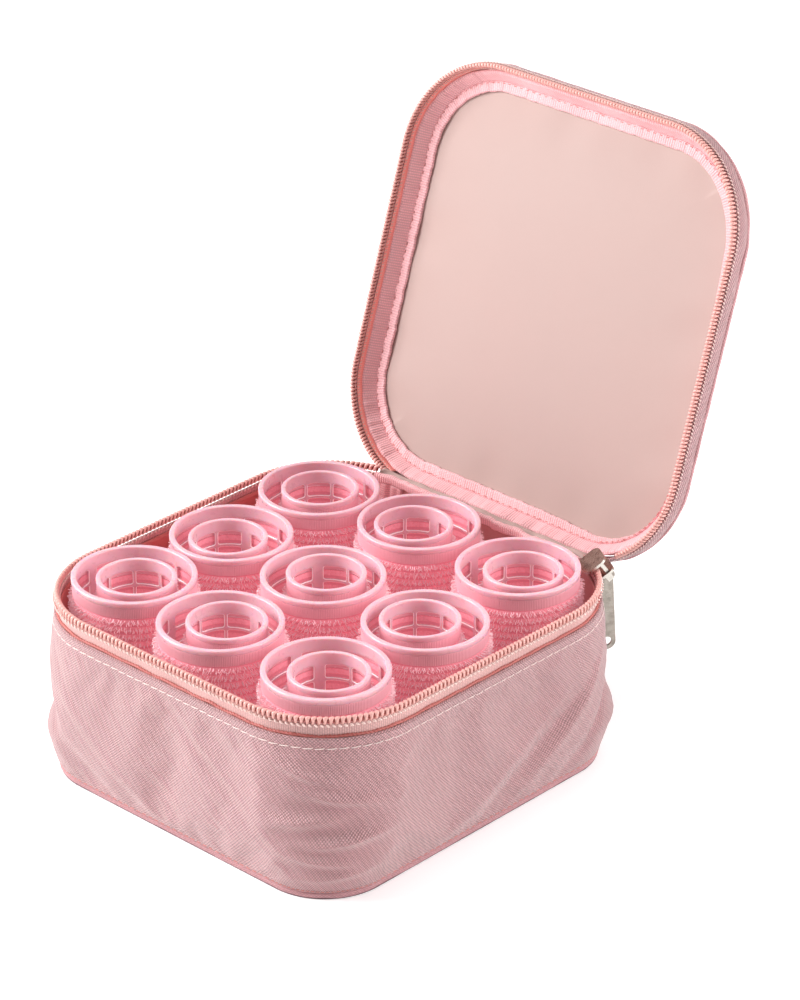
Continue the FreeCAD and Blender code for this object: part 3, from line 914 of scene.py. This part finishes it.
def make_tub_lining():
    """Lining of the tub's wall, and the soft floor under the rollers."""
    rise = np.linspace(LINING_LOW[2], LINING_HIGH[2], 40)
    outset = np.concatenate([0 * rise, 0 * rise - 0.5])
    height = np.concatenate([rise, rise[::-1]])

    def change(distance, outset, z):
        slack = np.sin(math.pi * np.clip((z - LINING_LOW[2]) / 56, 0, 1)) ** 0.8
        fold = 0.35 * ripple(distance, 34, 61) + 0.2 * ripple(distance + 0.8 * z, 15, 62)
        return outset - slack * np.abs(fold), z

    wall = sweep(at_lining, (outset, height), 1.3, change)
    piece = add("tub_lining_cloth", "case", "lining_cloth", [wall], tub_satin,
                node="base_wall_lining")
    low, top = FLOOR_LOW[2], FLOOR_HIGH[2]
    places = ((0.3, low), (0.0, (low + top) / 2), (0.5, top - 0.15), (6.0, top), (20.0, top),
              (40.0, top), (61.0, top))
    floor = panel(LINING_FOOT, 0.7, places, 16, False, (0, len(places) - 1)).turned_out()
    floor = add("tub_floor_cloth", "case", "lining_cloth", [floor], tub_satin,
                node="base_floor_lining")


# ---- lid ----
LID_COIL_HIGH = ZIP_PLANE + ZIP_GAP + COIL_TALL
LID_TAPE_TOP = 69.2
LID_BAND_LOW = LID_COIL_HIGH + 0.05
LID_TOP = 73.0
LID_EDGE_LOW = 71.4
LID_LINING_LOW = 72.5
RIGHT_SIDE = ROUND - 15.0


def make_lid_zip():
    """The lid's half of the zip."""
    run, steps = (RUN_START, LID_RUN_END), (2, 1, 2, 8)
    outer = loop_section((0.3, LID_COIL_HIGH), (0.6, LID_TAPE_TOP), 0.14, steps)
    inner = loop_section((0.0, LID_COIL_HIGH), (0.29, LID_TAPE_TOP), 0.13, steps)
    parts = [sweep(at_lid, section, TAPE_STEP, tape_change(LID_TAPE_TOP, rib, 52), run)
             for section, rib in ((outer, 0.05), (inner, 0.04))]
    add_zip((parts, tape_cloth, inner_tape_cloth), "lid", at_lid, run, ZIP_PLANE + ZIP_GAP, 1,
            LID_TEETH_PITCH, ("lid_zip_tape_cloth", "lid_coil", "lid_coil_stitching"))


def make_lid_shell():
    """Padded side band and rolled edge of the lid."""
    side = loop_section((0.75, LID_BAND_LOW), (1.75, LID_EDGE_LOW - 0.05), 0.45, (3, 2, 3, 8))

    def side_change(distance, outset, z):
        bulge = 0.35 * np.sin(math.pi * (z - LID_BAND_LOW) / (LID_EDGE_LOW - LID_BAND_LOW))
        soft = 0.16 * ripple(distance, 22, 71)
        return outset + (bulge + soft) * (outset > 1.2), z

    add("lid_side_cloth", "lid", "shell_cloth", [sweep(at_lid, side, 0.7, side_change)],
        shell_cloth, node="lid_side_band")

    roll = loop_section((0.1, LID_EDGE_LOW), (1.95, LID_TOP), 0.75, (5, 4, 5, 4))

    def roll_change(distance, outset, z):
        soft = 0.1 * ripple(distance, 16, 72)
        return outset + soft * (outset > 0.5), z + 0.12 * ripple(distance, 30, 73) * (z > 72)

    add("lid_edge_roll", "lid", "piping_cloth", [sweep(at_lid, roll, 0.7, roll_change)],
        edge_cloth, node="lid_rolled_edge")


def inset_rings(insets, heights, phase):
    """Rings of points, each further inside the zip's outline, drawn in towards its middle."""
    rings = []
    for inset, z in zip(insets, heights):
        half_x, half_y = COIL[0] - inset, COIL[1] - inset
        radius = max(COIL[2] - inset, 0.3 * min(half_x, half_y))
        x, y, _, _ = rounded((half_x, half_y, radius), phase)
        rings.append(np.stack([x, y, z + 0 * x], -1))
    return np.stack(rings, 1)


def slab(insets, heights, back_inset, back_height, steps, lift=None):
    """Closed panel of the open lid: a shaped face, a rim and a flat back, both drawn in to a
    line."""
    phase = np.arange(0, 8, 1 / steps)
    face = inset_rings(insets, heights, phase)
    if lift is not None:
        face[..., 2] += lift(face[..., 0], face[..., 1])
    back = inset_rings((back_inset, insets[-1]), (back_height, back_height), phase)
    part = laid_flat(grid(np.concatenate([back[:, ::-1], face], 1), (True, False)))
    part.points = opened(part.points)
    return part.turned_out()


def make_lid_top():
    """Crowned outer panel of the lid, dimpled where it is sewn to the rolled edge."""
    insets = 0.1 + (COIL[0] - 0.1) * np.linspace(0, 1, 60) ** 1.3
    heights = LID_TOP - 0.05 + 1.6 * (1 - np.exp(-insets / 5.0))

    def lift(x, y):
        waves = (np.sin(x / 11 + 0.8) * np.cos(y / 14 - 0.4) + 0.6 * np.sin(x / 6.5 - y / 9)
                 + 0.5 * np.cos((x + y) / 23 + 1.1))
        edge = np.minimum(COIL[0] - np.abs(x), COIL[1] - np.abs(y))
        return 0.16 * waves * np.clip(edge / 12, 0, 1)

    top = slab(insets, heights, 0.4, LID_TOP + 0.02, 60, lift)
    piece = add("lid_top_cloth", "lid", "shell_cloth", [top], shell_cloth, node="lid_top_panel")
    _, share, distance = stitch_run(3.5, 0.84, 8)
    rise = 0.18 * np.sin(math.pi * share) ** 0.5
    points = at_lid(distance, -1.2, LID_TOP + 0.07 + rise)
    add("lid_top_stitching", "lid", "binding_ribbon", [strands(points, 0.16, 6)],
        white_thread)


def make_lid_lining():
    """Satin lining stretched over the inside of the lid."""
    insets = 0.35 + (COIL[0] - 0.35) * np.linspace(0, 1, 56) ** 1.2

    def lift(x, y):
        """Puckers where the lining runs under its trim."""
        edge = np.minimum(COIL[0] - np.abs(x), COIL[1] - np.abs(y))
        along = np.where(COIL[0] - np.abs(x) < COIL[1] - np.abs(y), y, x)
        near = np.exp(-((edge - 10) / 9) ** 2)
        pucker = np.sin(along / 5.3) + 0.7 * np.sin(along / 3.1 + 1.2)
        pillow = 0.35 * np.clip(edge / 40, 0, 1)
        return -(0.13 * near * pucker + pillow)

    lining = slab(insets, LID_LINING_LOW + 0 * insets, 0.4, LID_LINING_LOW + 0.25, 60, lift)
    piece = add("lid_lining_cloth", "lid", "lining_cloth", [lining], lid_satin,
                node="lid_lining_panel")


def make_lid_board():
    """Thin board that keeps the lid flat, between its lining and its top."""
    low = LID_LINING_LOW + 0.3
    board = slab(np.array([0.5, 0.62, 1.2, COIL[0]]), low + np.array([0.1, 0.02, 0.0, 0.0]),
                 0.5, low + 0.3, 20)
    add("lid_board", "lid", "stiffener_board", [board], board_grey, node="lid_stiffener_board")


def make_lid_binding():
    """Grosgrain ribbon sewn round the inside of the lid, its seam and its narrow trim."""
    outer = loop_section((-4.8, 67.7), (-0.3, 72.4), 1.2, (8, 8, 8, 4))

    def outer_change(distance, outset, z):
        corner = sum(np.exp(-(gap_to(distance, at) / 16) ** 2) for at in CORNER_AT.values())
        back = np.exp(-(gap_to(distance, STRETCHES[1:3].mean()) / 42) ** 4)
        swell = (0.2 + 0.4 * corner + 0.4 * back) * ripple(distance, 9, 81)
        ribs = 0.07 * np.cos(TURN * distance / RIBBON_RIB)
        front = np.clip((LID_LINING_LOW - z) / 4.9, 0, 1)
        inner = (outset < -2.0) * front
        slope = -0.72 * (outset + 0.3) * front ** 0.8
        return outset + slope - inner * (0.6 * swell - ribs), z - front * (0.5 * swell - ribs)

    binding = sweep(at_lid, outer, RIBBON_RIB / 3, outer_change)
    add("lid_binding_ribbon", "lid", "binding_ribbon", [binding], ribbon_cloth,
        node="lid_binding_tape")
    trim = loop_section((-7.4, LID_LINING_LOW - 1.3), (-3.9, LID_LINING_LOW - 0.02), 0.6,
                        (4, 8, 4, 1))

    def trim_change(distance, outset, z):
        swell = 0.3 * ripple(distance, 8, 82)
        narrow = 3.2 * np.exp(-(gap_to(distance, RIGHT_SIDE) / 62) ** 4)
        outset = outset + narrow * np.clip((-4.4 - outset) / 3, 0, 1)
        front = z < LID_LINING_LOW - 0.3
        ribs = 0.06 * np.cos(TURN * distance / RIBBON_RIB) * front
        return outset + 0.7 * swell, z - 0.5 * swell * front + ribs

    trim = sweep(at_lid, trim, RIBBON_RIB / 3, trim_change)
    add("lid_trim_ribbon", "lid", "binding_ribbon", [trim], ribbon_cloth, node="lid_inner_trim")
    _, share, distance = stitch_run(2.7, 0.45, 6)
    points = at_lid(distance, -4.5, LID_LINING_LOW - 1.15 - 0.25 * np.sin(math.pi * share))
    add("lid_binding_stitching", "lid", "binding_ribbon", [strands(points, 0.15, 5)],
        coral_thread)


# ---- cloth hinge ----
HINGE_RUN = RUN_END - ROUND + 0.1, RUN_START - 0.1
HINGE_ROWS = 46
# outsets and heights of the hinge cloth up the tub's side, and then along the shut lid's
HINGE_TUB = (0.7, 0.85, 1.0, 1.15, 1.3, 1.7, 2.5), (53.0, 54.5, 56.2, 57.8, 59.2, 60.2, 60.7)
HINGE_LID = (1.0, 0.9, 0.85, 0.8), (66.9, 68.3, 69.4, 70.6)
SMOOTHINGS = 6             # rounds of smoothing that take the corners out of the cloth's path


def make_hinge_cloth():
    """Cloth that joins tub and lid, lined on its inside."""
    distances = evenly(*HINGE_RUN, 0.8)
    tub_side = at_rim(distances[:, None], *HINGE_TUB)
    lid_side = at_lid(distances[:, None], *HINGE_LID)
    first, last = tub_side[:, -1:], lid_side[:, :1]
    share = np.array([0.2, 0.4, 0.6, 0.8])[None, :, None]
    bridge = first + (last - first) * share
    bridge[..., 2] += 0.9 * np.sin(math.pi * share[..., 0])
    path = np.concatenate([tub_side, bridge, lid_side], 1)
    fine = np.linspace(0, path.shape[1] - 1, HINGE_ROWS)
    low = np.floor(fine).astype(int).clip(0, path.shape[1] - 2)
    part_way = (fine - low)[None, :, None]
    smooth = path[:, low] * (1 - part_way) + path[:, low + 1] * part_way
    for _ in range(SMOOTHINGS):
        smooth[:, 1:-1] = (smooth[:, :-2] + smooth[:, 2:] + 2 * smooth[:, 1:-1]) / 4
    arch = np.sin(math.pi * np.linspace(0, 1, HINGE_ROWS))
    smooth[..., 2] += 0.18 * ripple(distances, 12, 91)[:, None] * arch[None]
    normal = np.cross(np.gradient(smooth, axis=0), np.gradient(smooth, axis=1))
    normal /= np.linalg.norm(normal, axis=-1, keepdims=True)
    closed = np.concatenate([smooth + 0.3 * normal, (smooth - 0.3 * normal)[:, ::-1]], 1)
    inside = grid(closed, (False, True), True)
    first_half = np.arange(len(inside.faces[0])) % (2 * HINGE_ROWS) < HINGE_ROWS
    outside = Part(np.zeros((0, 3)), [inside.faces[0][first_half] - len(inside.points)],
                   [inside.flats[0][first_half]])
    inside.faces[0], inside.flats[0] = inside.faces[0][~first_half], inside.flats[0][~first_half]
    piece = make_piece("hinge_cloth", [inside, outside], lid_satin, shell_cloth)
    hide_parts("hinge_panel")
    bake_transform(piece)


def make_hinge_ribbons():
    """Bound seam of the hinge cloth and its two ribbon stays."""
    section = loop_section((-2.2, SEAM_LOW[2]), (0.0, SEAM_HIGH[2]), 0.9, (6, 4, 6, 4))

    def seam_change(distance, outset, z):
        swell = 0.3 * ripple(distance, 12, 92)
        ribs = 0.07 * np.cos(TURN * distance / RIBBON_RIB)
        return outset + 0.4 * swell - ribs * (outset < -1.1), z + swell + ribs * (z > 60.5)

    seam = sweep(at_rim, section, RIBBON_RIB / 4, seam_change, HINGE_RUN)
    add("hinge_seam_ribbon", "case", "binding_ribbon", [seam], ribbon_cloth,
        node="hinge_binding")
    make_stay("left")
    make_stay("right")


def make_stay(side):
    """Ribbon stay: two widths sewn side by side with a gathered middle."""
    low, high = node_box("hinge_stay_" + side)
    middle, half = back_distance((low[0] + high[0]) / 2), (high[0] - low[0]) / 2
    across = np.linspace(-1, 1, 41)
    rise = evenly(low[2], high[2], 0.22)
    gather = 0.55 * np.exp(-(across / 0.16) ** 2)
    fold = 0.35 * np.abs(np.sin(1.5 * math.pi * across))
    ribs = 0.07 * np.cos(TURN * rise / RIBBON_RIB)
    sag = 0.3 * np.sin(TURN * (rise - low[2]) / 13)
    out = -1.25 + gather[None] - fold[None] - (ribs + sag)[:, None]
    front = at_lining(middle + half * across[None], out, rise[:, None])
    back = at_lining(middle + half * across[None], 0 * out - 0.7, rise[:, None])
    closed = np.concatenate([front, back[:, ::-1]], 1)
    add("hinge_ribbon_" + side, "case", "binding_ribbon", [grid(closed, (False, True), True)],
        ribbon_cloth, node="hinge_stay_" + side)


# ---- rollers ----
WINDOW_ROWS = 10
WINDOWS_ROUND = 8
PLAIN_BAND = 4.2
ROW_RIB = 1.0
WINDOW_RIB = 1.1
SEAM_RIB = 3.7
CELL_SIDE = 10             # pieces of a window's surround on each side
EDGE = 0.2                 # soft edge of a window
# ring radius less cage radius, and the cage's wall
CAGE = {"large": (0.8, 1.0), "small": (0.7, 0.8)}
# direction of each roller's broad rib in degrees, from the front left to the back right
SEAM_TURN = {"large": (183.4, 192.0, 164.0, 260.0, 255.0, 300.0, 128.0, 340.0, 181.0),
             "small": (320.4, 87.5, 149.4, 104.9, 148.3, 320.9, 338.3, 97.4, 341.2)}


def round_axis(radius, angle, z):
    """Places round an upright axis."""
    radius, angle, z = np.broadcast_arrays(radius, angle, z)
    return np.stack([radius * np.cos(angle), radius * np.sin(angle), z], -1)


def window_loop(half_wide, half_tall, radius):
    """Rounded window outline with points that match those round its cell."""
    steps = np.linspace(-1, 1, CELL_SIDE + 1)[:-1]
    ones = np.ones(CELL_SIDE)
    square = np.concatenate([np.stack([steps, -ones], -1), np.stack([ones, steps], -1),
                             np.stack([-steps, ones], -1), np.stack([-ones, -steps], -1)])
    flat = square * (half_wide, half_tall)
    if radius <= 0:
        return flat
    inner = np.clip(flat, (-half_wide + radius, -half_tall + radius),
                    (half_wide - radius, half_tall - radius))
    off = flat - inner
    long = np.linalg.norm(off, axis=-1, keepdims=True)
    return np.where(long > radius, inner + off * radius / np.maximum(long, 1e-9), flat)


def window_size(bore):
    """Width of a window along the bore, and the angle from one window to the next."""
    ribs = SEAM_RIB + (WINDOWS_ROUND - 1) * WINDOW_RIB
    wide = (TURN * bore - ribs) / WINDOWS_ROUND
    return wide, (wide + WINDOW_RIB) / bore


def window_turns(bore):
    """Directions of the windows, and of the points that edge the broad rib."""
    step = window_size(bore)[1]
    half_rib = (SEAM_RIB - WINDOW_RIB) / 2 / bore
    rib = np.linspace(-half_rib, half_rib, 5)
    return half_rib + step * (np.arange(WINDOWS_ROUND) + 0.5), rib


def cage_part(bore, cage, low, turn, row_pitch):
    """Walls of a roller between its plain bands, pierced by rows of windows. The soft inner
    edges of the windows are apart from the rest, to carry a painted highlight."""
    wide, step = window_size(bore)
    half = wide / 2, (row_pitch - ROW_RIB) / 2
    cell = step * bore / 2, row_pitch / 2
    loops = ((cage, window_loop(*cell, 0)),
             (cage, window_loop(half[0] + EDGE, half[1] + EDGE, 0.8)),
             (cage - EDGE, window_loop(*half, 0.6)),
             (bore + EDGE, window_loop(*half, 0.6)),
             (bore, window_loop(half[0] + EDGE, half[1] + EDGE, 0.8)),
             (bore, window_loop(*cell, 0)))
    walls, edges = [], []
    for row in range(WINDOW_ROWS):
        z = low + (row + 0.5) * row_pitch
        for direction in window_turns(bore)[0]:
            rings = np.stack([round_axis(radius, turn + direction + loop[:, 0] / bore,
                                         z + loop[:, 1]) for radius, loop in loops], 1)
            walls += [grid(rings[:, :4], (True, False)), grid(rings[:, 4:], (True, False))]
            edges.append(grid(rings[:, 3:5], (True, False)))
    return walls, edges


def broad_rib(bore, cage, low, high, turn):
    """The one place round a roller that has no windows."""
    angle = turn + window_turns(bore)[1][:, None]
    z = np.linspace(low, high, WINDOW_ROWS * CELL_SIDE + 1)
    return [grid(round_axis(radius, angle, z)) for radius in (cage, bore)]


def plain_end(bore, cage, ring, edge, tip, turn):
    """Plain band and rounded end ring, from the cage's edge to the roller's end."""
    directions, rib = window_turns(bore)
    half = (directions[1] - directions[0]) / 2
    steps = np.linspace(-half, half, CELL_SIDE + 1)[:-1]
    angle = turn + np.concatenate([rib[:-1], (directions[:, None] + steps).ravel()])
    sign = 1 if tip > edge else -1
    lip = tip - sign * 2.0
    round_tip = 0.5
    arc = np.linspace(0, math.pi / 2, 6)
    profile = [(cage, edge), (cage, (edge + lip) / 2), (cage, lip - sign * 0.25),
               (cage + 0.15, lip - sign * 0.06), (ring - 0.25, lip), (ring, lip + sign * 0.25)]
    profile += [(ring - round_tip + round_tip * math.cos(a),
                 tip - sign * (round_tip - round_tip * math.sin(a))) for a in arc]
    profile += [(bore + 0.45 - 0.45 * math.sin(a),
                 tip - sign * (0.45 - 0.45 * math.cos(a))) for a in arc]
    profile += [(bore, (edge + tip) / 2), (bore, edge)]
    radius, z = np.array(profile).T
    return grid(round_axis(radius, angle[:, None], z), (True, False))


def welded(walls, edges, centre):
    """Walls and edges of a cage as two parts that share one set of points, looking outwards."""
    parts = walls + edges
    points = np.concatenate([part.points for part in parts])
    _, first, same = np.unique(np.round(points, 3), axis=0, return_index=True, return_inverse=True)
    faces, flats, start = [], [], 0
    for part in parts:
        faces.append(same.ravel()[part.faces[0] + start])
        flats.append(part.flats[0])
        start += len(part.points)
    count = sum(len(part.faces[0]) for part in walls)
    points = points[first] + centre
    faces = looking_out(points, np.concatenate(faces))
    flats = np.concatenate(flats)
    return [Part(points, [faces[:count]], [flats[:count]]),
            Part(np.zeros((0, 3)), [faces[count:] - len(points)], [flats[count:]])]


def looking_out(points, faces):
    """The faces of a closed mesh, all looking outwards."""
    mesh = bpy.data.meshes.new("scratch")
    mesh.from_pydata(points.tolist(), [], faces.tolist())
    work = bmesh.new()
    work.from_mesh(mesh)
    bmesh.ops.recalc_face_normals(work, faces=work.faces)
    order = np.array([[loop.vert.index for loop in face.loops] for face in work.faces])
    work.free()
    bpy.data.meshes.remove(mesh)
    return order


RIB_PITCH = 0.55           # fine ribs of the band under a roller's rim
RIB_BAND = 3.6


def hook_points(sleeve, low, high, rng, gap):
    """Rows of small bent hooks standing on a roller's sleeve."""
    around = int(TURN * sleeve / gap)
    starts = np.arange(math.ceil(low / HOOK_BAND), high / HOOK_BAND) * HOOK_BAND
    rows = np.concatenate([starts - 0.55, starts, starts + 0.55])
    rows = rows[(rows < high) & (rows > low)]
    angle = (np.arange(around)[None] / around * TURN + rng.uniform(0, TURN, (len(rows), 1))
             + rng.normal(0, 0.3 / sleeve, (len(rows), around)))
    z = rows[:, None] + rng.normal(0, 0.1, angle.shape)
    angle, z = angle.ravel(), z.ravel()
    tall = rng.uniform(0.9, 1.9, len(angle))
    side = rng.normal(0, 0.45, len(angle))
    droop = rng.normal(-0.35, 0.2, len(angle))
    share = np.array([0.0, 0.72, 1.0, 0.8])
    bend = np.array([0.0, 0.15, 0.6, 1.15])
    radius = sleeve - 0.1 + tall[:, None] * share
    turn = angle[:, None] + side[:, None] * bend * 0.8 / sleeve
    height = z[:, None] + droop[:, None] * bend * 0.8
    return round_axis(radius, turn, height)


def round_sleeve(section, count, centre, change):
    """Closed section of radii and heights carried round a roller's axis."""
    turns = np.arange(count)[:, None] * TURN / count
    radius, z = section
    return grid(round_axis(radius + change(turns, radius, z), turns, z) + centre, (True, True))


def make_roller(kind, place, turn, number):
    """One roller: moulded cage, then its sleeve of hooks."""
    name = kind + "_roller_" + place
    low, high = node_box(name + "_core")
    sleeve_low, sleeve_high = node_box(name + "_sleeve")
    sleeve = (sleeve_high[0] - sleeve_low[0]) / 2
    centre = (sleeve_low + sleeve_high) / 2 * (1, 1, 0)
    ring = (high[0] - low[0]) / 2
    cage = ring - CAGE[kind][0]
    bore = cage - CAGE[kind][1]
    rng = np.random.default_rng(1000 + number)
    row_pitch = (high[2] - low[2] - 2 * PLAIN_BAND + ROW_RIB) / WINDOW_ROWS
    cage_low = low[2] + PLAIN_BAND - ROW_RIB / 2
    cage_high = cage_low + WINDOW_ROWS * row_pitch
    walls, edges = cage_part(bore, cage, cage_low, turn, row_pitch)
    walls += broad_rib(bore, cage, cage_low, cage_high, turn)
    walls += [plain_end(bore, cage, ring, cage_high, high[2], turn),
              plain_end(bore, cage, ring, cage_low, low[2], turn)]
    # the windows' soft edges take the painted highlight material
    add(name + "_cage", name, "clear_plastic", welded(walls, edges, centre), clear_plastic,
        edge_highlight_plastic, node=name + "_core")

    top, foot = sleeve_high[2], sleeve_low[2]
    band_low = top - RIB_BAND
    ribs = int(TURN * sleeve / RIB_PITCH)

    def weave(turns, radius, z):
        return 0.28 * np.cos(TURN * z / HOOK_BAND) * (radius > sleeve - 0.4)

    def ribbed_edge(turns, radius, z):
        return 0.09 * np.cos(ribs * turns) * (radius > sleeve - 0.3)

    cloth = round_sleeve(loop_section((cage + 0.06, foot), (sleeve - 0.25, band_low), 0.12,
                                      (2, 1, 2, 60)), 150, centre, weave)
    band = round_sleeve(loop_section((cage + 0.06, band_low), (sleeve - 0.1, top), 0.25,
                                     (3, 1, 3, 3)), ribs * 4, centre, ribbed_edge)
    gap = 0.85 if kind == "large" else 0.8
    hooks = hook_points(sleeve - 0.25, foot + 0.8, band_low - 0.2, rng, gap) + centre
    thick = np.array([0.13, 0.12, 0.11, 0.08])
    add(name + "_hooks", name, "hook_cloth", [cloth, band, strands(hooks, thick, 3, False)],
        hook_cloth, band_cloth, hook_plastic, node=name + "_sleeve")


def make_rollers():
    """All nine pairs."""
    places = [row + "_" + column for row in ("front", "middle", "back")
              for column in ("left", "centre", "right")]
    for pair, place in enumerate(places):
        for small, kind in enumerate(("large", "small")):
            make_roller(kind, place, math.radians(SEAM_TURN[kind][pair]), 2 * pair + small)


# ---- zip slider ----
def dress_slider():
    """Metal finishes of the slider and its pull."""
    for node, material in (("zip_slider", bronze), ("zip_pull_tab", nickel)):
        materials = frame["nodes"][node].data.materials
        materials.clear()
        materials.append(material)


# ---- stage ----
DIM_SIDE = (0.62, -0.66, 0.42)         # the room is dimmer this way, towards the front
# name, place and size in metres, and power in watts
LIGHTS = (("left_light", (-0.95, -0.8, 0.75), 0.8, 32.0),
          ("right_light", (1.15, 0.75, 0.7), 0.8, 20.0),
          ("top_light", (-0.1, 0.1, 1.5), 0.9, 5.0))
# the camera that was solved from the photograph
CAMERA_AIM = (-0.01787, 0.051747, 0.06671)
CAMERA_TURN = (43.36, 26.95)           # degrees round from the front, and up
CAMERA_AWAY = 1.328375
CAMERA_LENS = 146.67


def make_stage():
    """Pale floor, soft lights and the camera."""
    look = Look("pale_floor", (0.93, 0.93, 0.93), Roughness=0.9, Emission_Strength=0.3,
                Emission_Color=(1.0, 1.0, 1.0, 1.0))
    tone = look.mix(look.noise(3.0, 2.0), (0.92, 0.92, 0.92), (0.95, 0.95, 0.95))
    half, level = 3000.0, cad_low[2] / MM - 0.02
    corners = np.array([[[x, y, level] for y in (-half, half)] for x in (-half, half)])
    floor = make_piece("pale_floor", [grid(corners)], look.finish(Base_Color=tone))

    world = bpy.data.worlds.new("soft_room")
    world.use_nodes = True
    room = world.node_tree
    sky = room.nodes["Background"]
    sky.inputs["Color"].default_value = (1.0, 0.99, 0.98, 1.0)
    place = room.nodes.new("ShaderNodeTexCoord")
    toward = room.nodes.new("ShaderNodeVectorMath")
    toward.operation = "DOT_PRODUCT"
    toward.inputs[1].default_value = DIM_SIDE
    dim = room.nodes.new("ShaderNodeMapRange")
    for socket, value in enumerate((0.0, 0.3, 0.95, 0.40, 0.08)):
        dim.inputs[socket].default_value = value
    room.links.new(place.outputs["Generated"], toward.inputs[0])
    room.links.new(toward.outputs["Value"], dim.inputs[0])
    room.links.new(dim.outputs[0], sky.inputs["Strength"])
    bpy.context.scene.world = world
    target = Vector((0, 0, 0.05))
    for name, place, size, power in LIGHTS:
        light = bpy.data.lights.new(name, "AREA")
        light.size, light.energy = size, power
        lamp = bpy.data.objects.new(name, light)
        lamp.location = place
        lamp.rotation_euler = (target - Vector(place)).to_track_quat("-Z", "Y").to_euler()
        bpy.context.scene.collection.objects.link(lamp)

    camera = bpy.data.cameras.new("camera")
    camera.lens, camera.sensor_width = CAMERA_LENS, 36.0
    camera.clip_start, camera.clip_end = 0.1, 20.0
    eye = bpy.data.objects.new("camera", camera)
    azimuth, rise = map(math.radians, CAMERA_TURN)
    back = Vector((math.sin(azimuth) * math.cos(rise), -math.cos(azimuth) * math.cos(rise),
                   math.sin(rise)))
    eye.location = Vector(CAMERA_AIM) + back * CAMERA_AWAY
    eye.rotation_euler = (-back).to_track_quat("-Z", "Y").to_euler()
    bpy.context.scene.collection.objects.link(eye)
    bpy.context.scene.camera = eye
    bpy.context.scene.view_settings.view_transform = "Standard"


for build in (make_stage, make_wall, make_foot, make_bottom, make_rim_stitches, make_turned_edge,
              make_tub_zip, make_tub_lining, make_lid_zip, make_lid_shell, make_lid_top,
              make_lid_lining, make_lid_board, make_lid_binding, make_hinge_cloth, make_hinge_ribbons,
              make_rollers, dress_slider):
    build()
